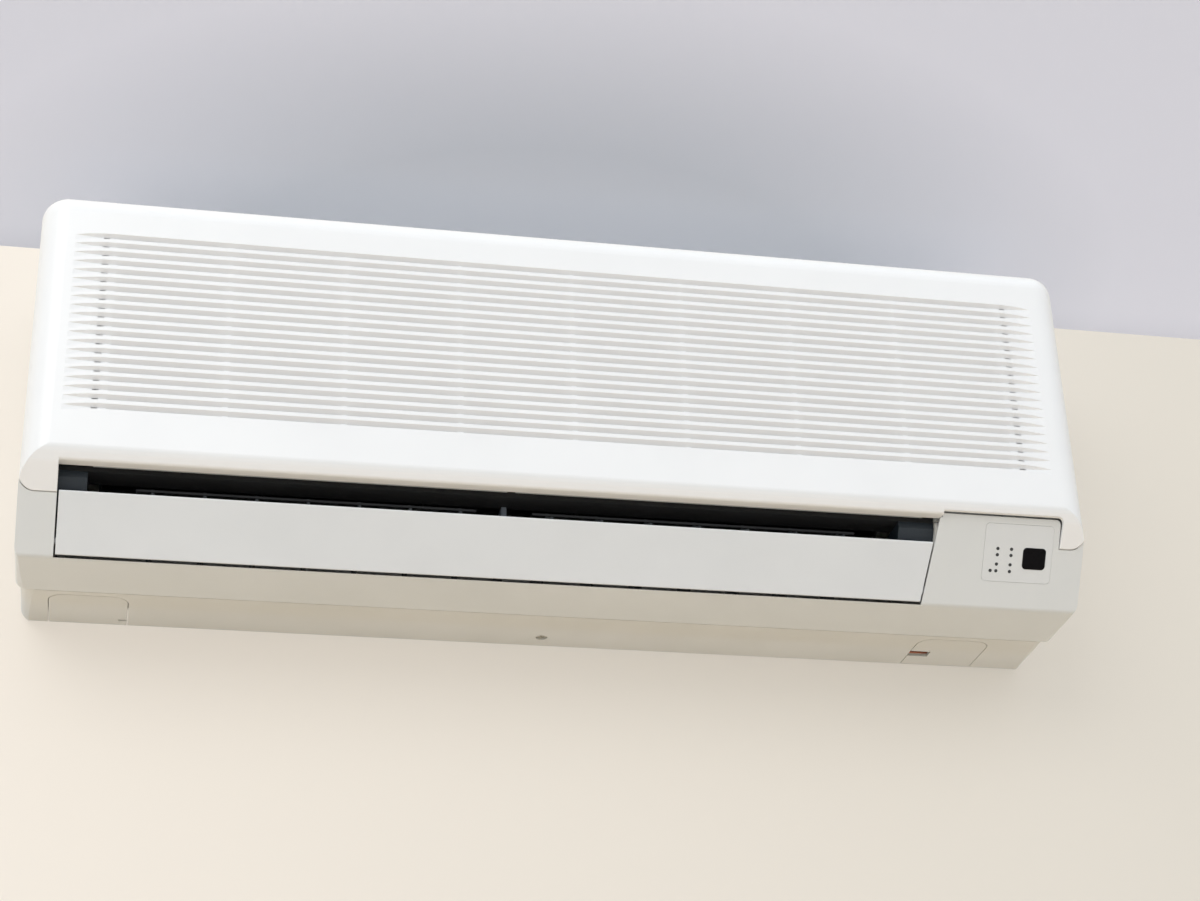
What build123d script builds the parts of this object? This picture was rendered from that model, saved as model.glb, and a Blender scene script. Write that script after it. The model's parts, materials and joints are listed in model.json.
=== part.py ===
from build123d import *
from math import atan, cos, degrees, radians, sin, tan
import os

# Wall mounted indoor unit of a split air conditioner, in millimetres.
# While modelling, x is 0 at mid width, the wall is y = 0, the room lies towards -Y, and z = 0 is
# the front edge of the underside. Depths are counted from the wall, so that depth = -y. The
# finished pieces are lowered until the middle of the mounting plate's back face is the origin.

# ---- overall form
WIDTH = 800.0                 # end to end
HEIGHT = 282.0                # front edge of the underside to the top
DEPTH = 160.0                 # wall to front face
CORNER_RADIUS = 20.0          # front corners, seen from above
TOP_ROUND = 18.0              # round along the top edge
WALL = 2.5                    # moulded wall of the panel, the casing and the chassis
CREASE_DEPTH = 112.0          # where the sloping face meets the underside
FACE_SLOPE = 56.0             # sloping face, degrees from horizontal
FACE_ROUND = 10.0             # round between the front face and the sloping face
CREASE_ROUND = 5.0
END_ROUND = 8.0               # round along the lower edges of the two ends
SEAM_DEPTH = 61.0             # casing meets chassis on the underside
UNDERSIDE_SAG = 2.0           # the seam hangs this much below the front edge
SEAM_GAP = 0.6                # visible gap between two mouldings
FIT_GAP = 0.3                 # least gap between bodies that move past each other
RUNNING_FIT = 0.05            # radial play of a pin in its hole
PLATE_HEIGHT_ABOVE_BASE = 140.0   # middle of the mounting plate
OVERCUT = 1.0                 # cutting shapes stand out of the solid by this

# ---- outlet and the seam of the front panel, as heights on the sloping face
OUTLET_LEFT = -373.0
OUTLET_RIGHT = 281.0          # inner face of the duct's right end wall
OUTLET_RIGHT_LOW = 274.0      # right edge of the opening at the crease
OUTLET_RIGHT_HIGH = 283.0     # and at the lip
OUTLET_CEILING = 61.0         # the frame behind the panel is cut away up to here
LIP_HEIGHT = 57.3             # underside of the panel over the opening
PANEL_TURN_HEIGHT = 64.5      # the panel's front face turns back here
PANEL_BEND = (154.3, 56.0)    # and bends again here: depth and height
PANEL_FOOT = (139.2, 39.5)    # down to nearly flush with the casing
PANEL_BEND_ROUND = 12.0
LIP_BACK = 147.0              # depth of the lip's back face
LIP_ROUND = 3.4
LIP_THICKNESS = 4.0
WING_CORNER = 12.0            # lower outer corners of the panel
WING_HEIGHT_LEFT = 39.5       # lower edge of the panel at the left end
WING_HEIGHT_RIGHT = 41.0
DISPLAY_TOP = 60.0            # seam over the display field
DISPLAY_LEFT = 284.0
DISPLAY_RIGHT = 380.5
DISPLAY_CORNER = 4.0
PANEL_SIDE_DEPTH = 121.8      # back edge of the panel's ends
PANEL_TOP_DEPTH = 127.5       # back edge of the panel's top
CASING_FRONT_DEPTH = 121.2    # front edge of the casing behind the panel
TOP_STRIP_HEIGHT = 268.0      # above this the panel's back edge is set forward

# ---- front panel: louvres, hinge
LOUVRE_COUNT = 20
LOUVRE_PITCH = 7.6
LOUVRE_TOP = 243.7            # middle of the highest gap
LOUVRE_GAP = 4.6              # measured up the front face
LOUVRE_SLOPE = 45.0           # blades fall inwards, degrees
LOUVRE_DEPTH = 2.7            # groove in the front face
LOUVRE_BACKING = 6.5          # thickness of the panel behind the louvres
LOUVRE_HALF_LENGTH = 345.0    # part that is open to the air
LOUVRE_CELLS = 8              # open lengths between the upright ribs
LOUVRE_RIB = 4.0
GROOVE_STRAIGHT = 346.0       # from here the grooves leave the face on a radius
GROOVE_FADE_RADIUS = 145.0
GROOVE_END = 375.0            # and have run out here
HINGE_DEPTH = 126.0
HINGE_HEIGHT = 277.0
HINGE_ARM_X = 356.0           # inner face of the hinge arm
HINGE_ARM = 3.0
HINGE_PIN_RADIUS = 2.4
HINGE_ARM_RADIUS = 4.0
HINGE_LUG = 4.0
HINGE_LUG_RADIUS = 4.5
LUG_CLEARANCE = 1.5           # between a lug and the notch around it

# ---- casing
TUB_INSET = 17.5              # front frame behind the panel, from the panel's face
TUB_SIDE_INSET = 8.0          # its ends, from the panel's ends
TUB_FRONT_WALL = 3.0
TUB_BOTTOM = 57.0
TUB_TOP_GAP = 1.0             # under the panel's hinge arms
FLANGE_DEPTH = 118.7          # back face of the flange that carries the frame
CASING_BACK_DEPTH = 2.0       # back edge of the casing's ends and top
CASING_LOW_HEIGHT = 60.0      # below this the casing ends at the seam
GRILLE_ROWS = 11
GRILLE_PITCH = 8.0
GRILLE_SLOT = 3.8
GRILLE_FRONT_DEPTH = 108.0
GRILLE_CELLS = 9
GRILLE_CELL_LENGTH = 70.0
GRILLE_RIB = 7.0

# ---- filters
FILTER_LEFT = (-349.0, -50.0)     # ends of the left filter
FILTER_RIGHT = (-44.0, 270.0)     # ends of the right filter
FILTER_BOTTOM = 58.0
FILTER_TOP = 262.0
FILTER_GAP = 1.0              # in front of the frame
FILTER_FRAME = 1.9            # thickness of the filter's frame
FILTER_NET = 0.6
FILTER_BAR = 7.0
WINDOW_BOTTOM = 88.0
WINDOW_MARGIN = 6.0           # the filter covers the window's edge by this
NET_COLUMNS = 15
NET_ROWS = 12
NET_STRAND = 1.4
GUIDE_GAP = 0.6
GUIDE_WALL = 1.6
GUIDE_BOTTOM = 66.0

# ---- air duct and fan
GUIDE_CENTRE = (74.0, 79.1)   # depth and height of the scroll's centre
GUIDE_RADIUS = 60.0
FLOOR_ANGLE = 20.0            # duct floor falls towards the outlet
FLOOR_END_DEPTH = 100.0
SCROLL_TOP = 165.0
FAN_DEPTH = 66.0
FAN_HEIGHT = 112.0
FAN_RADIUS = 41.0
FAN_LEFT = -345.0
FAN_RIGHT = 255.0
FAN_BLADES = 35
FAN_BLADE = 1.3
FAN_BLADE_RING = 9.0          # radial depth of the blades
FAN_DISCS = 6
FAN_DISC = 2.4
SHAFT_RADIUS = 4.0
BEARING_RADIUS = 12.0
MOTOR_RADIUS = 38.0
MOTOR_LEFT = 292.0
MOTOR_LENGTH = 56.0
MOTOR_HOLE_RADIUS = 15.0

# ---- flap
FLAP_SIDE_GAP = 1.4
FLAP_EDGE_DEPTH = 112.2       # lower edge, on the round of the crease
FLAP_EDGE_GAP = 0.45
FLAP_HIGH = 40.5              # upper edge, as a height on the sloping face
FLAP_THICKNESS = 3.0
FLAP_PIVOT_DEPTH = 113.0
FLAP_PIVOT_HEIGHT = 13.0
FLAP_PIN_RADIUS = 2.5
FLAP_ARM = 3.0
FLAP_ARM_RADIUS = 5.0
FLAP_ARM_REACH = 10.0         # the arm meets the plate this far over the pivot
FLAP_SWEEP_GAP = 0.4

# ---- upright vanes in the duct
VANE_COUNT = 7
VANE_FIRST_LEFT = -306.0
VANE_PITCH_LEFT = 37.5
VANE_FIRST_RIGHT = -18.8
VANE_PITCH_RIGHT = 37.8
VANE_REST_RIGHT = 18.0        # the right group is turned this far at rest, degrees
VANE_PIVOT_DEPTH = 84.0
VANE_TAIL = 8.0               # behind the pivot
VANE_NOSE = 22.0              # in front of the pivot
VANE_HEIGHT = 50.5
VANE_THICKNESS = 1.6
VANE_FLOOR_GAP = 0.8
VANE_PIN_RADIUS = 2.0
LINK_ARM = 13.0               # pivot to link pin
LINK_PIN_RADIUS = 1.3
LINK_ROD_GAP = 1.0            # over the vane
LINK_ROD = 1.5
LINK_ROD_WIDTH = 9.6
LINK_ROD_END = 12.0
LINK_SLOT_PLAY = 0.5
VANE_SWING = 30.0             # to each side of straight ahead, degrees
POST_X = -49.0                # strut between the two groups
POST_WIDTH = 4.0
BLOCK_LEFT = 20.5             # lengths of the blocks that narrow the duct's ends
BLOCK_RIGHT = 28.0

# ---- coil
FIN_LEFT = -352.0
FIN_RIGHT = 262.0
FIN_THICKNESS = 20.0
FIN_PITCH = 10.0
FIN_GROOVE = 3.8
FIN_GROOVE_DEPTH = 5.0
COIL_FRONT_DEPTH = 137.0      # front face of the upright section
COIL_FRONT_BOTTOM = 84.0
COIL_FRONT_TOP = 175.0
COIL_LEAN = 27.0              # the two upper sections lean this far from upright
COIL_UPPER_FOOT = (134.0, 188.0)  # outer lower corner, depth and height
COIL_UPPER_LENGTH = 73.0
COIL_REAR_FOOT = (24.5, 178.0)
COIL_REAR_LENGTH = 84.0
END_PLATE = 1.2
END_PLATE_RIM = 1.5
TUBE_RADIUS = 3.5
TUBE_PITCH = 20.0
TUBE_ROW = 10.0               # between the two rows in one section
TUBE_EDGE = 13.0              # first tube from the section's foot
TUBE_STUB = 3.0               # tubes stand out of the end plates by this

# ---- drain pan
PAN_BACK_DEPTH = 110.0
PAN_FRONT_DEPTH = 139.0
PAN_TOP = 87.0
PAN_WALL = 1.8
PAN_TROUGH = 15.0             # depth of the trough under the rim
PAN_CHAMFER = (5.0, 6.0)      # its back lower edge clears the link rods: depth and height
SPOUT_RADIUS = 7.0
SPOUT_LENGTH = 6.0
SPOUT_LIFT = 2.5              # over the bottom of the frame behind the panel

# ---- chassis
CHASSIS_INSET = 2.9           # its ends stand in from the casing's
CHASSIS_CORNER = 13.0
CHASSIS_TOP = 277.0
CHASSIS_WALL_GAP = 0.5        # to the wall of the room
BACK_PLATE_DEPTH = 14.0       # front face of the back plate
BACK_PLATE = 2.5
EXIT_LEFT = 328.0             # opening for the pipes
EXIT_RIGHT = 384.0
EXIT_BOTTOM = 6.0
EXIT_TOP = 62.0
GUTTER_DEPTH = 46.0
GUTTER_HEIGHT = 152.0
TAB_LEFT = -376.5             # left edges of the two release tabs
TAB_RIGHT = 292.5
TAB_WIDTH = 58.5
TAB_FAR = 54.5                # front edge; the sides run back to the wall
TAB_CORNER = 12.0
TAB_TRAVEL = 3.0
TAB_GAP = 0.6
TAB_SLOT = (17.0, 18.0, 28.5)     # in the right tab: length, nearest and farthest depth
TAB_NICK = (7.0, 8.0, 11.0)       # in the left tab, at its right side
TAB_STEM = (14.0, 12.0, 20.0)     # width, length and depth of the stem that is pushed
BASE_SCREW_X = -3.0
BASE_SCREW_DEPTH = 17.0
SCREW_HEAD_RADIUS = 4.0
SCREW_SHANK_RADIUS = 1.9
SCREW_LENGTH = 12.0

# ---- mounting plate
PLATE_WIDTH = 540.0
PLATE_HEIGHT = 220.0
PLATE = 1.2
PLATE_FLANGE = 4.0
PLATE_HOLES = (480.0, 170.0)  # between the wall screws
PLATE_HOLE_RADIUS = 2.75
HOOK_X = 200.0
HOOK_WIDTH = 30.0
HOOK_REACH = 8.0
HOOK_RISE = 8.0

# ---- display field and electric parts
COVER_LEFT = 320.0
COVER_RIGHT = 375.0
COVER_LOW = 18.0              # heights on the sloping face
COVER_HIGH = 55.0
COVER_RECESS = 0.8
COVER_CORNER = 3.0
COVER_RIM = 3.0
IR_LEFT = 351.5
IR_RIGHT = 370.0
IR_LOW = 26.7
IR_HIGH = 40.5
IR_CORNER = 3.0
LAMP_RADIUS = 1.3
LAMP_COLUMNS = (331.0, 342.0)
LAMP_ROWS = (39.0, 35.0, 29.0, 24.7)
LAMP_EXTRA = (326.4, 24.7)
BOARD = 1.6
RECEIVER_BOARD_BACK = 9.0
BOX_LEFT = 292.0
BOX_RIGHT = 372.0
BOX_BACK = 108.0
BOX_FRONT = 137.0
BOX_BOTTOM = 112.0
BOX_TOP = 252.0
BOX_WALL = 2.0
BUTTON_X = 330.0
BUTTON_HEIGHT = 82.0
BUTTON_RADIUS = 4.0
BUTTON_TRAVEL = 1.5
BUTTON_PROUD = 2.2
STEPPER_RADIUS = 11.0
STEPPER_LENGTH = 19.0
STEPPER_OFFSET = 8.0          # shaft off the motor's middle
GAS_RADIUS = 4.75
LIQUID_RADIUS = 3.2
PIPE_BEND = 12.0
PIPE_RUN_DEPTH = 6.3
GAS_HEIGHT = 12.0
LIQUID_HEIGHT = 23.5
GAS_TURN = 364.0              # the pipes turn back here, beyond the motor
LIQUID_TURN = 353.5
PIPE_DROP_DEPTH = 30.0
PIPE_DROP_HEIGHT = 60.0
PIPE_END = 130.0
NUT_RADIUS = 5.1


# ---- helpers
def place(depth, height):
    """Point of the side view, as (y, z)."""
    return (-depth, height)


def along_x(points, x_from, x_to):
    """Prism over a side view outline given as (depth, height) points."""
    outline = Polyline(*[place(d, h) for d, h in points], close=True)
    return extrude(Plane.YZ.offset(x_from) * make_face(outline), x_to - x_from)


def block(x_from, x_to, depth_from, depth_to, z_from, z_to):
    size = (x_to - x_from, depth_to - depth_from, z_to - z_from)
    middle = ((x_from + x_to) / 2, -(depth_from + depth_to) / 2, (z_from + z_to) / 2)
    return Pos(*middle) * Box(*size)


def rod_x(x_from, x_to, depth, height, radius):
    """Round bar along the width."""
    middle = ((x_from + x_to) / 2, -depth, height)
    return Pos(*middle) * Rot(0, 90, 0) * Cylinder(radius, x_to - x_from)


def face_depth(height, inset=0.0):
    """Depth of the sloping face, or of a plane inside it, at a height."""
    return CREASE_DEPTH + height / tan(radians(FACE_SLOPE)) - inset / sin(radians(FACE_SLOPE))


def save(name, shape):
    export_step(Pos(0, 0, -PLATE_HEIGHT_ABOVE_BASE) * shape, f"parts/{name}.step")


def plan_block(inset, z_from, z_to):
    """The unit's outline seen from above, moved inwards, between two heights."""
    width = WIDTH - 2 * inset
    depth = DEPTH - inset
    plan = Pos(0, -depth / 2) * Rectangle(width, depth)
    plan = fillet(plan.vertices().group_by(Axis.Y)[0], CORNER_RADIUS - inset)
    return extrude(Pos(0, 0, z_from) * plan, z_to - z_from)


def side_block(inset, half_width):
    """The unit's side view, moved inwards, as a prism across the width."""
    top = HEIGHT - inset
    steep = radians(FACE_SLOPE)
    front = DEPTH - inset
    edge_height = (front - CREASE_DEPTH + inset / sin(steep)) * tan(steep)
    sag = atan(UNDERSIDE_SAG / (CREASE_DEPTH - SEAM_DEPTH))
    fall = UNDERSIDE_SAG / SEAM_DEPTH
    rise = UNDERSIDE_SAG / (CREASE_DEPTH - SEAM_DEPTH)
    lift = inset / cos(sag)
    crease = CREASE_DEPTH + (lift - inset / cos(steep)) / (tan(steep) - rise)
    points = [
        (0, lift),
        (SEAM_DEPTH, lift - fall * SEAM_DEPTH),
        (crease, lift - rise * (CREASE_DEPTH - crease)),
        (front, edge_height),
        (front, top),
        (0, top),
    ]
    outline = make_face(Polyline(*[place(d, h) for d, h in points], close=True))
    corner = outline.vertices().sort_by_distance((*place(crease, 0), 0))[0]
    outline = fillet(corner, CREASE_ROUND - min(inset, CREASE_ROUND / 2))
    edge = outline.vertices().sort_by_distance((*place(front, edge_height), 0))[0]
    outline = fillet(edge, FACE_ROUND - inset)
    return extrude(Plane.YZ.offset(-half_width) * outline, 2 * half_width)


def end_view_block(half, low, corner):
    """Front view of the unit with its two lower corners rounded, as a prism over its depth."""
    outline = Pos(0, (low + 2 * HEIGHT) / 2) * Rectangle(2 * half, 2 * HEIGHT - low)
    outline = fillet(outline.vertices().group_by(Axis.Y)[0], corner)
    return extrude(Plane.XZ * outline, 2 * DEPTH)


def rounded_form(inset):
    """Plan outline, top round and end rounds, with every skin moved inwards."""
    form = plan_block(inset, -2 * WALL, HEIGHT - inset)
    rim = form.faces().sort_by(Axis.Z)[-1].edges().filter_by(lambda e: e.center().Y < -1)
    form = fillet(rim, TOP_ROUND - inset)
    return form & end_view_block(WIDTH / 2 - inset, inset - UNDERSIDE_SAG, END_ROUND - inset)


def body(inset):
    """The outer form of the casing and the chassis, with every skin moved inwards."""
    return rounded_form(inset) & side_block(inset, WIDTH)


def panel_body(inset):
    """The outer form of the panel: it stands proud of the casing, and less so lower down."""
    low = PANEL_FOOT[1] / 2
    fall = (PANEL_BEND[0] - PANEL_FOOT[0]) / (PANEL_BEND[1] - PANEL_FOOT[1])
    points = [
        (0, low),
        (PANEL_FOOT[0] - fall * low, low),
        PANEL_BEND,
        (DEPTH, PANEL_TURN_HEIGHT),
        (DEPTH, HEIGHT),
        (0, HEIGHT),
    ]
    outline = make_face(Polyline(*[place(d, h) for d, h in points], close=True))
    turn = outline.vertices().sort_by_distance((*place(DEPTH, PANEL_TURN_HEIGHT), 0))[0]
    outline = fillet(turn, FACE_ROUND)
    bend = outline.vertices().sort_by_distance((*place(*PANEL_BEND), 0))[0]
    outline = fillet(bend, PANEL_BEND_ROUND)
    if inset:
        outline = offset(outline, -inset)
    return rounded_form(inset) & extrude(Plane.YZ.offset(-WIDTH) * outline, 2 * WIDTH)


def panel_slope(height):
    """Depth of the panel's skin over the opening, between its bend and its front face."""
    lean = (DEPTH - PANEL_BEND[0]) / (PANEL_TURN_HEIGHT - PANEL_BEND[1])
    return PANEL_BEND[0] + lean * (height - PANEL_BEND[1])


def panel_zone(gap):
    """Everything the front panel may fill; the gap moves its seam away from the panel."""
    side = WIDTH / 2 + OVERCUT + gap
    points = [
        (-side, WING_HEIGHT_LEFT - gap),
        (OUTLET_LEFT + gap, WING_HEIGHT_LEFT - gap),
        (OUTLET_LEFT + gap, LIP_HEIGHT - gap),
        (DISPLAY_LEFT + gap, LIP_HEIGHT - gap),
        (DISPLAY_LEFT + gap, DISPLAY_TOP - gap),
        (DISPLAY_RIGHT - gap, DISPLAY_TOP - gap),
        (DISPLAY_RIGHT - gap, WING_HEIGHT_RIGHT - gap),
        (side, WING_HEIGHT_RIGHT - gap),
        (side, 2 * HEIGHT),
        (-side, 2 * HEIGHT),
    ]
    outline = make_face(Polyline(*points, close=True))
    inner = (DISPLAY_RIGHT - gap, DISPLAY_TOP - gap, 0)
    outline = fillet(outline.vertices().sort_by_distance(inner)[0], DISPLAY_CORNER)
    for outer in ((-side, WING_HEIGHT_LEFT - gap, 0), (side, WING_HEIGHT_RIGHT - gap, 0)):
        outline = fillet(outline.vertices().sort_by_distance(outer)[0], WING_CORNER + gap)
    return extrude(Plane.XZ.offset(0) * outline, 2 * DEPTH)


# ---- front panel
def louvre_gaps(near, far):
    """Side view of all the gaps between the blades, from one depth inside the face to another."""
    lean = tan(radians(LOUVRE_SLOPE))
    gaps = Sketch()
    for row in range(LOUVRE_COUNT):
        middle = LOUVRE_TOP - row * LOUVRE_PITCH
        upper = middle + LOUVRE_GAP / 2
        lower = middle - LOUVRE_GAP / 2
        corners = [
            place(DEPTH - near, upper - near * lean),
            place(DEPTH - near, lower - near * lean),
            place(DEPTH - far, lower - far * lean),
            place(DEPTH - far, upper - far * lean),
        ]
        gaps += make_face(Polyline(*corners, close=True))
    return gaps


def hinge_arm(side):
    """Arm and pin at one end of the panel; side is -1 or 1."""
    reach = HINGE_ARM_RADIUS - 0.1
    round_depth = DEPTH - TOP_ROUND
    web = along_x(
        [
            (HINGE_DEPTH, HINGE_HEIGHT - reach),
            (DEPTH - TUB_INSET + 2, HINGE_HEIGHT - reach),
            (DEPTH - WALL - 4, HEIGHT - TOP_ROUND),
            (DEPTH - WALL / 2, HEIGHT - TOP_ROUND),
            (round_depth, HEIGHT - WALL / 2),
            (HINGE_DEPTH + 2, HEIGHT - WALL / 2),
            (HINGE_DEPTH, HINGE_HEIGHT + reach),
        ],
        HINGE_ARM_X,
        HINGE_ARM_X + HINGE_ARM,
    )
    arm = web + rod_x(HINGE_ARM_X, HINGE_ARM_X + HINGE_ARM, HINGE_DEPTH, HINGE_HEIGHT, HINGE_ARM_RADIUS)
    pin_end = HINGE_ARM_X + HINGE_ARM + SEAM_GAP + HINGE_LUG
    arm += rod_x(HINGE_ARM_X, pin_end, HINGE_DEPTH, HINGE_HEIGHT, HINGE_PIN_RADIUS)
    return arm if side > 0 else mirror(arm, Plane.YZ)


def lip():
    """Thickened lower edge of the panel over the opening, and what is cut off to round it."""
    bar = along_x(
        [
            (LIP_BACK, LIP_HEIGHT),
            (panel_slope(LIP_HEIGHT) - WALL / 4, LIP_HEIGHT),
            (panel_slope(LIP_HEIGHT + LIP_THICKNESS) - WALL / 2, LIP_HEIGHT + LIP_THICKNESS),
            (LIP_BACK, LIP_HEIGHT + LIP_THICKNESS),
        ],
        OUTLET_LEFT - WALL,
        DISPLAY_LEFT,
    )
    steep = atan((PANEL_TURN_HEIGHT - PANEL_BEND[1]) / (DEPTH - PANEL_BEND[0]))
    height = LIP_HEIGHT + LIP_ROUND
    middle = panel_slope(height) - LIP_ROUND / sin(steep)
    upper = (middle + LIP_ROUND * sin(steep), height - LIP_ROUND * cos(steep))
    edge = (panel_slope(LIP_HEIGHT) + WALL / 4, LIP_HEIGHT - WALL / 4)
    wedge = along_x([upper, edge, (middle, LIP_HEIGHT)], OUTLET_LEFT, DISPLAY_LEFT)
    return bar, wedge - rod_x(OUTLET_LEFT - 1, DISPLAY_LEFT + 1, middle, height, LIP_ROUND)


def front_panel():
    panel = (panel_body(0) - panel_body(WALL)) & panel_zone(0)
    bar, rounding = lip()
    panel += bar
    panel -= rounding
    panel -= block(-WIDTH, WIDTH, -DEPTH, PANEL_SIDE_DEPTH, -HEIGHT, 2 * HEIGHT)
    panel -= block(-WIDTH, WIDTH, -DEPTH, PANEL_TOP_DEPTH, TOP_STRIP_HEIGHT, 2 * HEIGHT)
    lowest = LOUVRE_TOP - (LOUVRE_COUNT - 1) * LOUVRE_PITCH
    panel += block(
        -LOUVRE_HALF_LENGTH - LOUVRE_RIB,
        LOUVRE_HALF_LENGTH + LOUVRE_RIB,
        DEPTH - LOUVRE_BACKING,
        DEPTH - WALL / 2,
        lowest - LOUVRE_PITCH - LOUVRE_BACKING,
        LOUVRE_TOP + LOUVRE_PITCH / 2,
    )
    grooves = louvre_gaps(-1, LOUVRE_DEPTH)
    panel -= extrude(Plane.YZ.offset(-GROOVE_STRAIGHT) * grooves, 2 * GROOVE_STRAIGHT)
    turn = degrees(atan((GROOVE_END - GROOVE_STRAIGHT) / GROOVE_FADE_RADIUS)) + 2
    for side in (-1, 1):
        centre = (side * GROOVE_STRAIGHT, -DEPTH - GROOVE_FADE_RADIUS, 0)
        section = Plane.YZ.offset(side * GROOVE_STRAIGHT) * grooves
        panel -= revolve(section, Axis(centre, (0, 0, -side)), turn)
    cell = 2 * LOUVRE_HALF_LENGTH / LOUVRE_CELLS
    air_ways = louvre_gaps(LOUVRE_DEPTH - 0.5, LOUVRE_BACKING + 1)
    starts = [-LOUVRE_HALF_LENGTH + column * cell + LOUVRE_RIB / 2 for column in range(LOUVRE_CELLS)]
    panel -= [extrude(Plane.YZ.offset(start) * air_ways, cell - LOUVRE_RIB) for start in starts]
    lug_space = HINGE_ARM_X + HINGE_ARM + SEAM_GAP / 2
    for side in (-1, 1):
        ends = sorted((side * lug_space, side * (lug_space + HINGE_LUG + 3 * SEAM_GAP)))
        notch_depth = HINGE_DEPTH + HINGE_LUG_RADIUS + LUG_CLEARANCE
        panel -= block(*ends, PANEL_TOP_DEPTH - OVERCUT, notch_depth, HEIGHT - 2 * WALL, 2 * HEIGHT)
        panel += hinge_arm(side)
    return panel


# ---- casing
def tub_top():
    return HINGE_HEIGHT - HINGE_ARM_RADIUS - TUB_TOP_GAP


def outlet_right(height):
    """Right edge of the outlet at a height; it leans outwards."""
    lean = (OUTLET_RIGHT_HIGH - OUTLET_RIGHT_LOW) / LIP_HEIGHT
    return OUTLET_RIGHT_LOW + lean * height


def outlet_zone(gap):
    """Upright sided prism over the front view of the outlet, with its ends moved inwards."""
    low = -2 * WALL
    points = [
        (OUTLET_LEFT + gap, low),
        (outlet_right(low) - gap, low),
        (outlet_right(TUB_BOTTOM) - gap, TUB_BOTTOM),
        (OUTLET_LEFT + gap, TUB_BOTTOM),
    ]
    return extrude(Plane.XZ * make_face(Polyline(*points, close=True)), 2 * DEPTH)


def crease_height(depth):
    """Height of the outer skin on the round of the crease."""
    start = CREASE_DEPTH - CREASE_ROUND * tan(radians(FACE_SLOPE / 2))
    return CREASE_ROUND - (CREASE_ROUND**2 - (depth - start) ** 2) ** 0.5


def flap_sweep():
    """Radius that the flap's lower edge draws about its pivot."""
    fall = FLAP_PIVOT_HEIGHT - crease_height(FLAP_EDGE_DEPTH)
    return ((FLAP_EDGE_DEPTH - FLAP_PIVOT_DEPTH) ** 2 + fall**2) ** 0.5


def slope(height):
    """Distance up the sloping face to a height."""
    return height / sin(radians(FACE_SLOPE))


def on_face(x_from, x_to, low, high, out_from, out_to, corner=0.0):
    """Block on the sloping face: between two heights, and two distances out of the face."""
    steep = radians(FACE_SLOPE)
    face = Plane(origin=(0, -CREASE_DEPTH, 0), x_dir=(1, 0, 0), z_dir=(0, -sin(steep), -cos(steep)))
    length = slope(high) - slope(low)
    outline = Pos((x_from + x_to) / 2, (slope(low) + slope(high)) / 2) * Rectangle(x_to - x_from, length)
    if corner:
        outline = fillet(outline.vertices(), corner)
    return extrude(face.offset(out_from) * outline, out_to - out_from)


def display_window(grow):
    """The recess for the display cover, a little wider or narrower."""
    return on_face(
        COVER_LEFT - grow, COVER_RIGHT + grow, COVER_LOW - grow, COVER_HIGH + grow, -COVER_RECESS, 1, COVER_CORNER
    )


def filter_back():
    return DEPTH - TUB_INSET + FILTER_GAP


def filter_guides(left, right):
    """Two hooked rails that a filter slides between."""
    base = DEPTH - TUB_INSET - TUB_FRONT_WALL / 2
    front = filter_back() + FILTER_NET + FILTER_FRAME + GUIDE_GAP
    rails = Part()
    for end, side in ((left, -1), (right, 1)):
        wall = sorted((end + side * GUIDE_GAP, end + side * (GUIDE_GAP + GUIDE_WALL)))
        lip = sorted((end - side * 2 * GUIDE_WALL, end + side * (GUIDE_GAP + GUIDE_WALL)))
        rails += block(*wall, base, front + GUIDE_WALL, GUIDE_BOTTOM, FILTER_TOP)
        rails += block(*lip, front, front + GUIDE_WALL, GUIDE_BOTTOM + 30, FILTER_TOP)
    return rails


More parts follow.
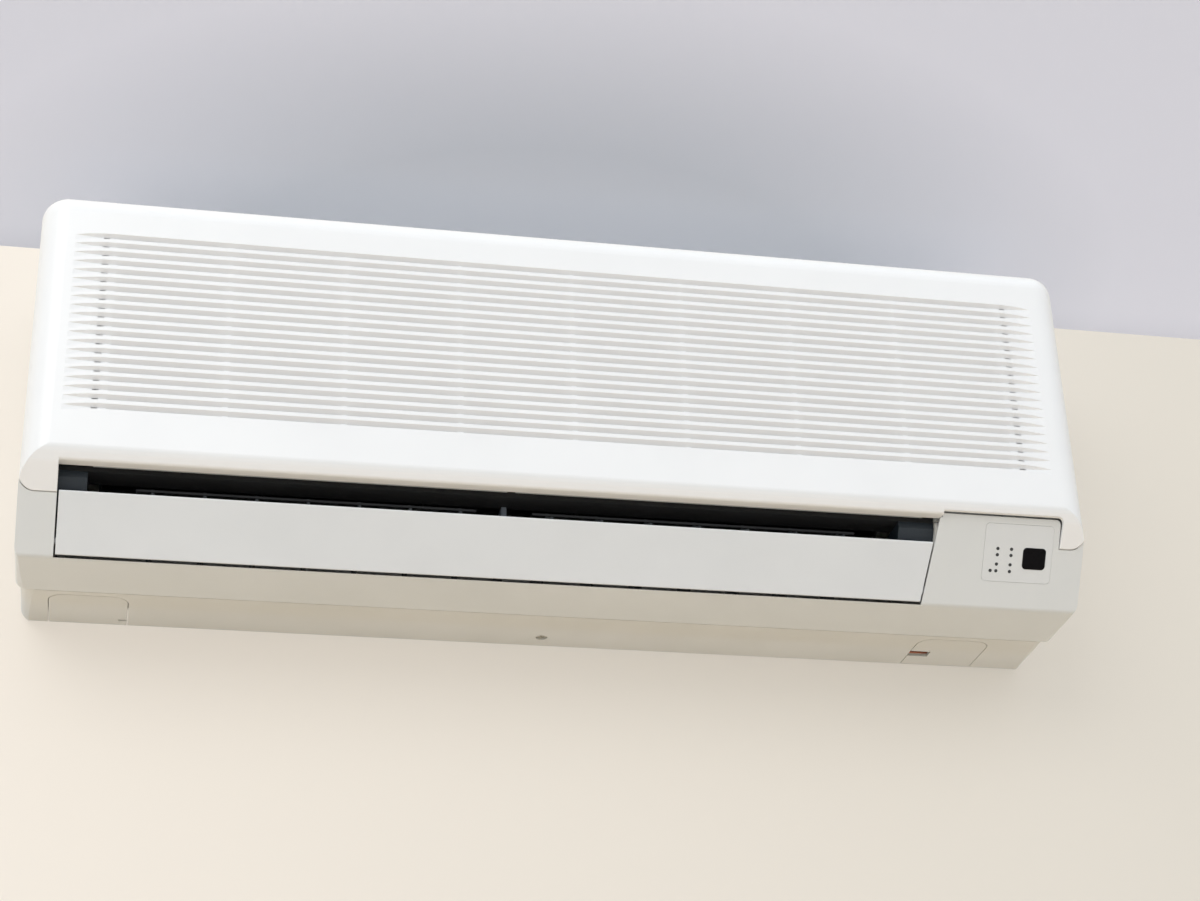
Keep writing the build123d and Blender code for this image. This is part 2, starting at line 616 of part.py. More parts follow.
def front_casing(shell):
    seam = panel_zone(SEAM_GAP) - block(-WIDTH, WIDTH, -DEPTH, CASING_FRONT_DEPTH, -HEIGHT, 3 * HEIGHT)
    casing = shell - seam
    casing -= block(-WIDTH, WIDTH, -DEPTH, CASING_BACK_DEPTH, -HEIGHT, 2 * HEIGHT)
    casing -= block(-WIDTH, WIDTH, -DEPTH, SEAM_DEPTH, -HEIGHT, CASING_LOW_HEIGHT)
    edge = FLAP_EDGE_DEPTH - FLAP_EDGE_GAP
    casing -= outlet_zone(0) & block(-WIDTH, WIDTH, edge, 2 * DEPTH, -HEIGHT, HEIGHT)
    sweep = flap_sweep() + FLAP_SWEEP_GAP
    casing -= outlet_zone(0) & rod_x(-WIDTH, WIDTH, FLAP_PIVOT_DEPTH, FLAP_PIVOT_HEIGHT, sweep)
    deep = TUB_INSET + TUB_FRONT_WALL
    hollow = plan_block(TUB_SIDE_INSET + WALL, TUB_BOTTOM + WALL, tub_top() - WALL)
    hollow &= block(-WIDTH, WIDTH, -DEPTH, DEPTH - deep, 0, HEIGHT)
    tub = plan_block(TUB_SIDE_INSET, TUB_BOTTOM, tub_top())
    tub &= block(-WIDTH, WIDTH, FLANGE_DEPTH, DEPTH - TUB_INSET, 0, HEIGHT)
    flange = body(WALL / 2) & block(-WIDTH, WIDTH, FLANGE_DEPTH, CASING_FRONT_DEPTH, TUB_BOTTOM, HEIGHT)
    casing += tub + flange - hollow
    casing -= block(OUTLET_LEFT, OUTLET_RIGHT, FLANGE_DEPTH - 1, DEPTH - TUB_INSET + 1, TUB_BOTTOM - 1, OUTLET_CEILING)
    face_from = DEPTH - deep - 1
    for left, right in (FILTER_LEFT, FILTER_RIGHT):
        casing -= block(
            left + WINDOW_MARGIN,
            right - WINDOW_MARGIN,
            face_from,
            DEPTH,
            WINDOW_BOTTOM,
            FILTER_TOP - WINDOW_MARGIN,
        )
        casing += filter_guides(left, right)
    lug_near = HINGE_ARM_X + HINGE_ARM + SEAM_GAP
    for side in (-1, 1):
        ends = sorted((side * lug_near, side * (lug_near + HINGE_LUG)))
        foot = block(*ends, CASING_FRONT_DEPTH - 2, HINGE_DEPTH + HINGE_LUG_RADIUS, tub_top() - WALL, HINGE_HEIGHT)
        casing += foot + rod_x(*ends, HINGE_DEPTH, HINGE_HEIGHT, HINGE_LUG_RADIUS)
        casing -= rod_x(ends[0] - 1, ends[1] + 1, HINGE_DEPTH, HINGE_HEIGHT, HINGE_PIN_RADIUS + RUNNING_FIT)
    slots = []
    run = GRILLE_CELL_LENGTH + GRILLE_RIB
    for row in range(GRILLE_ROWS):
        depth = GRILLE_FRONT_DEPTH - row * GRILLE_PITCH
        for cell in range(GRILLE_CELLS):
            middle = (cell - (GRILLE_CELLS - 1) / 2) * run
            slots.append(Pos(middle, -depth, HEIGHT) * Box(GRILLE_CELL_LENGTH, GRILLE_SLOT, 4 * WALL))
    casing -= slots
    casing -= display_window(SEAM_GAP / 4)
    casing -= on_face(
        COVER_LEFT + COVER_RIM,
        COVER_RIGHT - COVER_RIM,
        COVER_LOW + COVER_RIM,
        COVER_HIGH - COVER_RIM,
        -2 * WALL,
        1,
    )
    hole = Pos(BUTTON_X, -DEPTH + TUB_INSET, BUTTON_HEIGHT) * Rot(90, 0, 0)
    casing -= hole * Cylinder(BUTTON_RADIUS + FIT_GAP, 4 * TUB_FRONT_WALL)
    return casing


# ---- chassis with the air duct
def scroll_points(offset):
    """Key points of the duct's back and floor; the offset lies outside the duct."""
    lean = radians(FLOOR_ANGLE)
    depth, height = GUIDE_CENTRE
    radius = GUIDE_RADIUS + offset
    foot = (depth - radius * sin(lean), height - radius * cos(lean))
    run = (FLOOR_END_DEPTH - foot[0] - offset * sin(lean)) / cos(lean)
    end = (foot[0] + run * cos(lean), foot[1] - run * sin(lean))
    return (depth - radius, SCROLL_TOP), (depth - radius, height), foot, end, radius


def floor_height(depth):
    """Height of the duct's floor at a depth in its straight part."""
    foot = scroll_points(0)[2]
    return foot[1] - (depth - foot[0]) * tan(radians(FLOOR_ANGLE))


def scroll_curve(offset):
    top, bend, foot, end, radius = scroll_points(offset)
    centre = place(*GUIDE_CENTRE)
    back = Line(place(*top), place(*bend))
    arc = CenterArc(centre, radius, 0, FLOOR_ANGLE - 90)
    floor = Line(place(*foot), place(*end))
    return [back, arc, floor]


def duct_prism(edges, points, x_from, x_to):
    """Prism over an outline made of a scroll curve and a polyline that closes it."""
    closing = Polyline(*[place(d, h) for d, h in points])
    outline = make_face(Wire(edges + closing.edges()))
    return extrude(Plane.YZ.offset(x_from) * outline, x_to - x_from)


def scroll_sheet():
    inner = scroll_curve(0)
    outer = scroll_curve(WALL)
    inner_ends = (scroll_points(0)[0], scroll_points(0)[3])
    outer_ends = (scroll_points(WALL)[0], scroll_points(WALL)[3])
    edges = [e for part in inner + outer for e in part.edges()]
    for a, b in zip(inner_ends, outer_ends):
        edges += Line(place(*a), place(*b)).edges()
    outline = make_face(Wire(edges))
    return extrude(Plane.YZ.offset(OUTLET_LEFT - WALL) * outline, OUTLET_RIGHT - OUTLET_LEFT + 2 * WALL)


def duct_end_wall(x_from, x_to):
    start = scroll_points(WALL)[0]
    end = scroll_points(WALL)[3]
    near_face = WALL + OVERCUT
    low = FLAP_PIVOT_HEIGHT - FLAP_PIN_RADIUS - 6
    points = [
        end,
        (face_depth(low, near_face), low),
        (face_depth(TUB_BOTTOM - 7, near_face), TUB_BOTTOM - 7),
        (face_depth(TUB_BOTTOM - 7, near_face), TUB_BOTTOM - 1),
        (PAN_BACK_DEPTH - 1, TUB_BOTTOM - 1),
        (PAN_BACK_DEPTH - 4, SCROLL_TOP),
        start,
    ]
    edges = [e for part in scroll_curve(WALL) for e in part.edges()]
    return duct_prism(edges, points, x_from, x_to)


def chassis_block(inset, depth_from, depth_to):
    """Front outline of the chassis, moved inwards, between two depths."""
    half = WIDTH / 2 - CHASSIS_INSET - inset
    low = inset - UNDERSIDE_SAG
    high = CHASSIS_TOP - inset
    outline = Pos(0, (low + high) / 2) * Rectangle(2 * half, high - low)
    outline = fillet(outline.vertices(), CHASSIS_CORNER - inset)
    solid = extrude(Plane.XZ.offset(depth_from) * outline, depth_to - depth_from)
    return solid & side_block(inset, WIDTH)


def tab_prism(left, shrink):
    """Upright prism over the outline of a release tab, rounded in front and open to the wall."""
    middle = (left + TAB_WIDTH / 2, -(TAB_FAR - shrink) / 2)
    outline = Pos(*middle) * Rectangle(TAB_WIDTH - 2 * shrink, TAB_FAR - shrink)
    outline = fillet(outline.vertices().group_by(Axis.Y)[0], TAB_CORNER - shrink)
    return extrude(Pos(0, 0, -2 * WALL) * outline, 4 * WALL + TAB_TRAVEL)


def chassis_tray():
    """Rim of the chassis with its underside."""
    tray = chassis_block(0, CHASSIS_WALL_GAP, SEAM_DEPTH - SEAM_GAP) - chassis_block(WALL, -1, 2 * DEPTH)
    tray -= block(-WIDTH, WIDTH, BACK_PLATE_DEPTH, DEPTH, CASING_LOW_HEIGHT, 2 * HEIGHT)
    return tray


def rear_chassis(tray):
    chassis = tray + chassis_block(WALL / 2, BACK_PLATE_DEPTH - BACK_PLATE, BACK_PLATE_DEPTH)
    chassis += scroll_sheet()
    chassis += duct_end_wall(OUTLET_LEFT - WALL, OUTLET_LEFT)
    chassis += duct_end_wall(OUTLET_RIGHT, OUTLET_RIGHT + WALL)
    gutter = along_x(
        [
            (BACK_PLATE_DEPTH - 1, GUTTER_HEIGHT + 6),
            (GUTTER_DEPTH, GUTTER_HEIGHT),
            (GUTTER_DEPTH, GUTTER_HEIGHT + 9),
            (GUTTER_DEPTH - WALL, GUTTER_HEIGHT + 9),
            (GUTTER_DEPTH - WALL, GUTTER_HEIGHT + WALL),
            (BACK_PLATE_DEPTH - 1, GUTTER_HEIGHT + 6 + WALL),
        ],
        OUTLET_LEFT,
        OUTLET_RIGHT,
    )
    chassis += gutter
    cradle = block(
        MOTOR_LEFT + 8,
        MOTOR_LEFT + MOTOR_LENGTH - 8,
        BACK_PLATE_DEPTH - 1,
        FAN_DEPTH - MOTOR_RADIUS / 2,
        FAN_HEIGHT - 0.8 * MOTOR_RADIUS,
        FAN_HEIGHT - 0.5 * MOTOR_RADIUS,
    )
    chassis += cradle - rod_x(MOTOR_LEFT, MOTOR_LEFT + MOTOR_LENGTH, FAN_DEPTH, FAN_HEIGHT, MOTOR_RADIUS)
    for side in (-1, 1):
        ends = (side * HOOK_X - HOOK_WIDTH / 2 - 5, side * HOOK_X + HOOK_WIDTH / 2 + 5)
        top = plate_top() - HOOK_RISE / 2
        chassis += block(*ends, PLATE + 1.5, BACK_PLATE_DEPTH - 1, top + HOOK_RISE, top + HOOK_RISE + WALL)
        chassis += block(*ends, PLATE + 1.5, PLATE + 1.5 + WALL, top - 1, top + HOOK_RISE + WALL)
    axle = (FAN_DEPTH, FAN_HEIGHT)
    chassis -= rod_x(OUTLET_LEFT - 2 * WALL, OUTLET_LEFT + WALL, *axle, BEARING_RADIUS)
    chassis -= rod_x(OUTLET_RIGHT - WALL, OUTLET_RIGHT + 2 * WALL, *axle, MOTOR_HOLE_RADIUS)
    pivot = (FLAP_PIVOT_DEPTH, FLAP_PIVOT_HEIGHT)
    chassis -= rod_x(OUTLET_LEFT - 2 * WALL, OUTLET_LEFT + WALL, *pivot, FLAP_PIN_RADIUS + RUNNING_FIT)
    chassis -= rod_x(OUTLET_RIGHT - WALL, OUTLET_RIGHT + 2 * WALL, *pivot, FLAP_PIN_RADIUS + FIT_GAP)
    chassis -= block(EXIT_LEFT, EXIT_RIGHT, -1, BACK_PLATE_DEPTH + 1, EXIT_BOTTOM, EXIT_TOP)
    for left in (TAB_LEFT, TAB_RIGHT):
        chassis -= tab_prism(left, 0)
    for pivot_x in vane_places():
        chassis -= vane_frame(pivot_x, 0) * Cylinder(VANE_PIN_RADIUS + RUNNING_FIT, 6 * WALL)
    screw = Pos(BASE_SCREW_X, -BASE_SCREW_DEPTH, 0)
    boss = Pos(0, 0, 2 * WALL) * Cylinder(SCREW_HEAD_RADIUS + 3, 6 * WALL)
    chassis += screw * boss & side_block(0, WIDTH)
    chassis -= screw * Cylinder(SCREW_HEAD_RADIUS + 0.6, 3 * WALL)
    chassis -= screw * Cylinder(SCREW_SHANK_RADIUS, 12 * WALL)
    return chassis


def plate_top():
    return PLATE_HEIGHT_ABOVE_BASE + PLATE_HEIGHT / 2


def mounting_plate():
    middle = PLATE_HEIGHT_ABOVE_BASE
    half = PLATE_WIDTH / 2
    plate = block(-half, half, 0, PLATE, middle - PLATE_HEIGHT / 2, plate_top())
    for edge in (middle - PLATE_HEIGHT / 2, plate_top() - PLATE):
        plate += block(-half, half, 0, PLATE_FLANGE, edge, edge + PLATE)
    top = plate_top() - HOOK_RISE / 2
    for side in (-1, 1):
        ends = (side * HOOK_X - HOOK_WIDTH / 2, side * HOOK_X + HOOK_WIDTH / 2)
        plate += block(*ends, 0, HOOK_REACH, top - 1 - PLATE, top - 1)
        plate -= block(ends[0] - 6, ends[1] + 6, PLATE, HOOK_REACH, top, plate_top() + 1)
        plate += block(*ends, HOOK_REACH - PLATE, HOOK_REACH, top - 1, top + HOOK_RISE - 2)
        for up in (-1, 1):
            at = Pos(side * PLATE_HOLES[0] / 2, 0, middle + up * PLATE_HOLES[1] / 2)
            plate -= at * Rot(90, 0, 0) * Cylinder(PLATE_HOLE_RADIUS, 8 * PLATE)
    return plate


def release_tab(tray, left, cut_from, cut):
    """Tab with its stem; the cut is a slot through it, from a place along its width."""
    tab = tray & tab_prism(left, TAB_GAP)
    middle = left + TAB_WIDTH / 2
    width, length, depth = TAB_STEM
    stem = block(middle - width / 2, middle + width / 2, depth, depth + length, -UNDERSIDE_SAG, 5 * WALL)
    tab += stem & side_block(WALL / 2, WIDTH)
    return tab - block(cut_from, cut_from + cut[0], cut[1], cut[2], -2 * WALL, 2 * WALL)


# ---- vanes and their link rods
def vane_places():
    left = [VANE_FIRST_LEFT + i * VANE_PITCH_LEFT for i in range(VANE_COUNT)]
    right = [VANE_FIRST_RIGHT + i * VANE_PITCH_RIGHT for i in range(VANE_COUNT)]
    return left + right


def vane_frame(pivot_x, turn):
    """Frame on the duct floor at a pivot: X out along the floor, Z square to it."""
    lean = radians(FLOOR_ANGLE)
    origin = (pivot_x, -VANE_PIVOT_DEPTH, floor_height(VANE_PIVOT_DEPTH))
    along = (0, -cos(lean), -sin(lean))
    square = (0, -sin(lean), cos(lean))
    return Plane(origin=origin, x_dir=along, z_dir=square).location * Rot(0, 0, turn)


def vane_outline():
    """Side of a vane: distance along the floor from the pivot, and height over the floor."""
    nose_foot = VANE_NOSE * 0.43
    return [
        (-VANE_TAIL, VANE_FLOOR_GAP),
        (nose_foot, VANE_FLOOR_GAP),
        (nose_foot, 14),
        (VANE_NOSE - 1, 32),
        (VANE_NOSE, VANE_HEIGHT),
        (-VANE_TAIL, VANE_HEIGHT),
    ]


def vane(pivot_x, turn):
    side = make_face(Polyline(*vane_outline(), close=True))
    blade = extrude(Plane.XZ.offset(-VANE_THICKNESS / 2) * side, VANE_THICKNESS)
    pin_low = -WALL * 0.8
    blade += Pos(0, 0, (pin_low + VANE_FLOOR_GAP) / 2) * Cylinder(VANE_PIN_RADIUS, VANE_FLOOR_GAP - pin_low)
    blade += Pos(0, 0, VANE_FLOOR_GAP + 3) * Cylinder(VANE_PIN_RADIUS, 6)
    pin_top = VANE_HEIGHT + LINK_ROD_GAP + LINK_ROD + 0.6
    blade += Pos(LINK_ARM, 0, pin_top - 3) * Cylinder(LINK_PIN_RADIUS, 6)
    return vane_frame(pivot_x, turn) * blade


def link_rod(places, turn):
    """Flat bar over one group of vanes, with a slot for each link pin."""
    reach = LINK_ARM * cos(radians(turn))
    shift = LINK_ARM * sin(radians(turn))
    nearest = LINK_ARM * cos(radians(VANE_SWING))
    slot_from = nearest - LINK_PIN_RADIUS - LINK_SLOT_PLAY
    slot_to = LINK_ARM + LINK_PIN_RADIUS + LINK_SLOT_PLAY
    half = LINK_PIN_RADIUS + LINK_SLOT_PLAY
    low = VANE_HEIGHT + LINK_ROD_GAP
    length = places[-1] - places[0] + 2 * LINK_ROD_END
    middle = (slot_from + slot_to) / 2
    bar = Pos(middle, 0, low + LINK_ROD / 2) * Box(LINK_ROD_WIDTH, length, LINK_ROD)
    centre = (places[0] + places[-1]) / 2
    for pivot_x in places:
        slot = Box(slot_to - slot_from, 2 * half, 4 * LINK_ROD)
        bar -= Pos(middle, pivot_x - centre, low) * slot
    return vane_frame(centre + shift, 0) * bar


def outlet_post():
    """Strut between the two groups of vanes."""
    clear = 0.2
    points = [
        (VANE_PIVOT_DEPTH - 6, floor_height(VANE_PIVOT_DEPTH - 6) + clear),
        (FLAP_PIVOT_DEPTH - 15, floor_height(FLAP_PIVOT_DEPTH - 15) + clear),
        (FLAP_PIVOT_DEPTH - 14, FLAP_PIVOT_HEIGHT + 10),
        (CREASE_DEPTH + 10, TUB_BOTTOM - 15),
        (CREASE_DEPTH + 10, TUB_BOTTOM),
        (CREASE_DEPTH - 20, TUB_BOTTOM),
    ]
    return along_x(points, POST_X - POST_WIDTH / 2, POST_X + POST_WIDTH / 2)


def end_block(x_from, x_to):
    points = [
        (CREASE_DEPTH - 12, FLAP_PIVOT_HEIGHT + 16),
        (CREASE_DEPTH + 6, FLAP_PIVOT_HEIGHT + 16),
        (face_depth(TUB_BOTTOM - 14, 3 * WALL), TUB_BOTTOM - 14),
        (face_depth(TUB_BOTTOM - 5, 3 * WALL), TUB_BOTTOM - 5),
        (face_depth(TUB_BOTTOM - 5, 3 * WALL), TUB_BOTTOM),
        (CREASE_DEPTH - 12, TUB_BOTTOM),
    ]
    return along_x(points, x_from, x_to)


# ---- flap
def flap():
    """Curved plate that closes the lower part of the outlet, with an arm and a pin at each end."""
    plate = side_block(0, WIDTH) - side_block(FLAP_THICKNESS, WIDTH)
    plate &= on_face(-WIDTH, WIDTH, -HEIGHT / 2, FLAP_HIGH, -2 * FLAP_THICKNESS, OVERCUT)
    plate &= outlet_zone(FLAP_SIDE_GAP)
    plate &= block(-WIDTH, WIDTH, FLAP_EDGE_DEPTH, 2 * DEPTH, -HEIGHT, HEIGHT)
    near = -FLAP_EDGE_DEPTH - FIT_GAP
    corners = plate.edges().filter_by(Axis.X)
    corners = [e for e in corners if e.center().Z > FLAP_HIGH - FIT_GAP or e.center().Y > near]
    plate = fillet(corners, FLAP_THICKNESS * 0.3)
    left = OUTLET_LEFT + FLAP_SIDE_GAP
    right = outlet_right(FLAP_PIVOT_HEIGHT) - FLAP_SIDE_GAP
    reach = FLAP_ARM_RADIUS - 0.1
    low = FLAP_PIVOT_HEIGHT - FLAP_ARM_RADIUS
    high = FLAP_PIVOT_HEIGHT + FLAP_ARM_REACH
    outline = [
        (face_depth(low, 1), low),
        (face_depth(high, 1), high),
        (FLAP_PIVOT_DEPTH, FLAP_PIVOT_HEIGHT + reach),
        (FLAP_PIVOT_DEPTH - reach, FLAP_PIVOT_HEIGHT),
        (FLAP_PIVOT_DEPTH, FLAP_PIVOT_HEIGHT - reach),
    ]
    for x_from, pin_from, pin_to in (
        (left, OUTLET_LEFT - WALL - 1, left),
        (right - FLAP_ARM, right, OUTLET_RIGHT + WALL + 5),
    ):
        x_to = x_from + FLAP_ARM
        plate += along_x(outline, x_from, x_to)
        plate += rod_x(x_from, x_to, FLAP_PIVOT_DEPTH, FLAP_PIVOT_HEIGHT, FLAP_ARM_RADIUS)
        plate += rod_x(pin_from, pin_to, FLAP_PIVOT_DEPTH, FLAP_PIVOT_HEIGHT, FLAP_PIN_RADIUS)
    return plate


def flap_motor():
    steep = radians(FACE_SLOPE)
    depth = FLAP_PIVOT_DEPTH - STEPPER_OFFSET * sin(steep)
    height = FLAP_PIVOT_HEIGHT + STEPPER_OFFSET * cos(steep)
    start = OUTLET_RIGHT + WALL
    motor = rod_x(start, start + STEPPER_LENGTH, depth, height, STEPPER_RADIUS)
    motor += block(start, start + 1, depth - 1.35 * STEPPER_RADIUS, depth, height, height + 3)
    motor -= rod_x(start - 1, start + 6, FLAP_PIVOT_DEPTH, FLAP_PIVOT_HEIGHT, FLAP_PIN_RADIUS + RUNNING_FIT)
    return motor


# ---- filters
def filter_parts(left, right):
    """Frame and net of one filter, which slides down between its guides."""
    back = filter_back() + FILTER_NET
    frame = block(left, right, back, back + FILTER_FRAME, FILTER_BOTTOM, FILTER_TOP)
    middle = (left + right) / 2
    centre = (FILTER_BOTTOM + FILTER_TOP) / 2
    bar = FILTER_BAR
    for x_from, x_to in ((left + bar, middle - bar / 4), (middle + bar / 4, right - bar)):
        for low, high in ((FILTER_BOTTOM + 2 * bar, centre - bar / 4), (centre + bar / 4, FILTER_TOP - bar)):
            frame -= block(x_from, x_to, back - 1, back + FILTER_FRAME + 1, low, high)
    inset = FILTER_BAR / 2
    net_box = (left + inset, right - inset, FILTER_BOTTOM + inset, FILTER_TOP - inset)
    outline = Pos(middle, (net_box[2] + net_box[3]) / 2) * Rectangle(net_box[1] - net_box[0], net_box[3] - net_box[2])
    column = (net_box[1] - net_box[0] - NET_STRAND) / NET_COLUMNS
    row = (net_box[3] - net_box[2] - NET_STRAND) / NET_ROWS
    hole = Rectangle(column - NET_STRAND, row - NET_STRAND)
    gaps = Sketch() + [
        Pos(net_box[0] + NET_STRAND / 2 + (i + 0.5) * column, net_box[2] + NET_STRAND / 2 + (j + 0.5) * row) * hole
        for i in range(NET_COLUMNS)
        for j in range(NET_ROWS)
    ]
    net = extrude(Plane.XZ.offset(filter_back()) * (outline - gaps), FILTER_NET)
    return frame, net


# ---- fan
def fan_rotor():
    """Cross flow rotor: a ring of blades held by discs."""
    inner = FAN_RADIUS - FAN_BLADE_RING
    lean = radians(22)
    blades = Sketch()
    for number in range(FAN_BLADES):
        section = make_face(
            Polyline(
                (inner, 0),
                (FAN_RADIUS - 0.3, FAN_BLADE_RING * tan(lean)),
                (FAN_RADIUS - 0.3 - FAN_BLADE * 0.4, FAN_BLADE_RING * tan(lean) + FAN_BLADE),
                (inner, FAN_BLADE),
                close=True,
            )
        )
        blades += Rot(0, 0, number * 360 / FAN_BLADES) * section
    axle = Plane.YZ.offset(FAN_LEFT) * Pos(-FAN_DEPTH, FAN_HEIGHT)
    rotor = extrude(axle * blades, FAN_RIGHT - FAN_LEFT)
    pitch = (FAN_RIGHT - FAN_LEFT - FAN_DISC) / (FAN_DISCS - 1)
    for number in range(FAN_DISCS):
        start = FAN_LEFT + number * pitch
        disc = rod_x(start, start + FAN_DISC, FAN_DEPTH, FAN_HEIGHT, FAN_RADIUS)
        if 0 < number < FAN_DISCS - 1:
            disc -= rod_x(start - 1, start + FAN_DISC + 1, FAN_DEPTH, FAN_HEIGHT, inner - 1)
        rotor += disc
    hub = 4 * FAN_DISC
    for start in (FAN_LEFT, FAN_RIGHT - hub):
        rotor += rod_x(start, start + hub, FAN_DEPTH, FAN_HEIGHT, 3 * SHAFT_RADIUS)
    for start in (FAN_LEFT - 1, FAN_RIGHT - hub - 1):
        rotor -= rod_x(start, start + hub + 2, FAN_DEPTH, FAN_HEIGHT, SHAFT_RADIUS)
    return rotor


def fan_shafts():
    hub = 4 * FAN_DISC
    left = rod_x(OUTLET_LEFT - WALL - 3, FAN_LEFT + hub, FAN_DEPTH, FAN_HEIGHT, SHAFT_RADIUS)
    right = rod_x(FAN_RIGHT - hub, MOTOR_LEFT + 20, FAN_DEPTH, FAN_HEIGHT, SHAFT_RADIUS)
    return Compound([left, right])


def fan_bearing():
    """Bush in the left end wall of the duct."""
    bush = rod_x(OUTLET_LEFT - WALL, OUTLET_LEFT, FAN_DEPTH, FAN_HEIGHT, BEARING_RADIUS)
    bush += rod_x(OUTLET_LEFT, OUTLET_LEFT + 8, FAN_DEPTH, FAN_HEIGHT, BEARING_RADIUS - 3)
    return bush - rod_x(OUTLET_LEFT - 9, OUTLET_LEFT + 20, FAN_DEPTH, FAN_HEIGHT, SHAFT_RADIUS + RUNNING_FIT)


def fan_motor():
    axle = (FAN_DEPTH, FAN_HEIGHT)
    motor = rod_x(MOTOR_LEFT, MOTOR_LEFT + MOTOR_LENGTH, *axle, MOTOR_RADIUS)
    ends = motor.edges().filter_by(GeomType.CIRCLE)
    motor = fillet(ends, 4)
    motor += rod_x(MOTOR_LEFT - 5, MOTOR_LEFT, *axle, 3 * SHAFT_RADIUS)
    return motor - rod_x(MOTOR_LEFT - 6, MOTOR_LEFT + 22, *axle, SHAFT_RADIUS + RUNNING_FIT)


def motor_clamp():
    """Sheet steel strap over the motor, with a foot on the cradle and one on the back plate."""
    start = MOTOR_LEFT + 20
    width = 16
    axle = (FAN_DEPTH, FAN_HEIGHT)
    strap = rod_x(start, start + width, *axle, MOTOR_RADIUS + 1.5)
    strap -= rod_x(start - 1, start + width + 1, *axle, MOTOR_RADIUS)
    strap -= block(start - 1, start + width + 1, 0, DEPTH, 0, FAN_HEIGHT - MOTOR_RADIUS / 2)
    foot_depth = FAN_DEPTH - MOTOR_RADIUS * cos(radians(30))
    strap += block(start, start + width, BACK_PLATE_DEPTH, foot_depth - 1, FAN_HEIGHT, FAN_HEIGHT + 1.5) - rod_x(
        start - 1, start + width + 1, *axle, MOTOR_RADIUS
    )
    return strap


# ---- coil
def coil_sections():
    """Each section's outer lower corner, lean from upright and length."""
    upright = ((COIL_FRONT_DEPTH, COIL_FRONT_BOTTOM), 0.0, COIL_FRONT_TOP - COIL_FRONT_BOTTOM)
    upper = (COIL_UPPER_FOOT, COIL_LEAN, COIL_UPPER_LENGTH)
    rear = (COIL_REAR_FOOT, -COIL_LEAN, COIL_REAR_LENGTH)
    return {"front": upright, "upper": upper, "rear": rear}


def tube_points(name):
    """Tube centres of a section as (distance along it, distance in from its outer face)."""
    length = coil_sections()[name][2]
    per_row = int((length - 2 * TUBE_EDGE + TUBE_PITCH / 2) // TUBE_PITCH) + 1
    per_row -= per_row % 2
    row_from = (FIN_THICKNESS - TUBE_ROW) / 2
    return [(TUBE_EDGE + i * TUBE_PITCH, row_from + r * TUBE_ROW) for r in range(2) for i in range(per_row)]


def section_place(name, x):
    """Side view frame of a section: X up along it, Y from its outer face inwards."""
    foot, lean, _ = coil_sections()[name]
    along = (0, sin(radians(lean)), cos(radians(lean)))
    across = 1 if name == "rear" else -1
    return Plane(origin=(x, -foot[0], foot[1]), x_dir=along, z_dir=(across, 0, 0))


def fin_pack(name):
    """Fins of one section as a comb, bored for the tubes."""
    width = FIN_RIGHT - FIN_LEFT
    count = int(width / FIN_PITCH)
    base = FIN_GROOVE_DEPTH
    top = FIN_THICKNESS - FIN_GROOVE_DEPTH
    lead = (width - (count - 1) * FIN_PITCH - FIN_GROOVE) / 2
    outer = [(0.0, 0.0)]
    inner = [(0.0, FIN_THICKNESS)]
    for i in range(count):
        start = lead + i * FIN_PITCH
        end = start + FIN_GROOVE
        outer += [(start, 0.0), (start, base), (end, base), (end, 0.0)]
        inner += [(start, FIN_THICKNESS), (start, top), (end, top), (end, FIN_THICKNESS)]
    outer.append((width, 0.0))
    inner.append((width, FIN_THICKNESS))
    outline = make_face(Polyline(*outer, *reversed(inner), close=True))
    frame = section_place(name, FIN_LEFT)
    across = Vector(1, 0, 0)
    plane = Plane(origin=frame.origin, x_dir=across, z_dir=across.cross(frame.y_dir))
    length = coil_sections()[name][2]
    pack = extrude(plane * outline, length * plane.z_dir.dot(frame.x_dir))
    bores = Sketch() + [Pos(u, v) * Circle(TUBE_RADIUS) for u, v in tube_points(name)]
    return pack - extrude(frame * bores, width * frame.z_dir.X)


def end_plates(x_from):
    """Steel sheets at one end of the coil, one for each section."""
    plates = []
    for name, (_, _, length) in coil_sections().items():
        frame = section_place(name, x_from)
        thick = END_PLATE * frame.z_dir.X
        outline = Pos(length / 2, FIN_THICKNESS / 2) * Rectangle(length, FIN_THICKNESS)
        for u, v in tube_points(name):
            outline -= Pos(u, v) * Circle(TUBE_RADIUS)
        plates.append(extrude(frame * outline, thick))
    return Compound(plates)


def coil_tubes():
    """Hairpin tubes with their bends at the left and the joining bends at the right."""
    tubes = []
    bend = TUBE_PITCH / 2
    left = FIN_LEFT - END_PLATE - TUBE_STUB
    right = FIN_RIGHT + END_PLATE + TUBE_STUB
    for name in coil_sections():
        frame = section_place(name, 0)
        points = tube_points(name)
        for pair in range(0, len(points), 2):
            low, high = (frame.origin + frame.x_dir * u + frame.y_dir * v for u, v in points[pair : pair + 2])
            start = low + Vector(right, 0, 0)
            turn_low = low + Vector(left, 0, 0)
            turn_high = high + Vector(left, 0, 0)
            top = (low + high) * 0.5 + Vector(left - bend, 0, 0)
            path = Line(start, turn_low) + ThreePointArc(turn_low, top, turn_high)
            path += Line(turn_high, high + Vector(right, 0, 0))
            tubes.append(sweep(Plane(origin=start, z_dir=(-1, 0, 0)) * Circle(TUBE_RADIUS), path=path))
            if pair + 2 < len(points) and points[pair + 2][1] == points[pair][1]:
                u, v = points[pair + 2]
                after = frame.origin + frame.x_dir * u + frame.y_dir * v
                near = high + Vector(right, 0, 0)
                far = after + Vector(right, 0, 0)
                middle = (near + far) * 0.5 + Vector(bend, 0, 0)
                path = ThreePointArc(near, middle, far)
                tubes.append(sweep(Plane(origin=near, z_dir=(1, 0, 0)) * Circle(TUBE_RADIUS), path=path))
    return Compound([solid for tube in tubes for solid in tube.solids()])


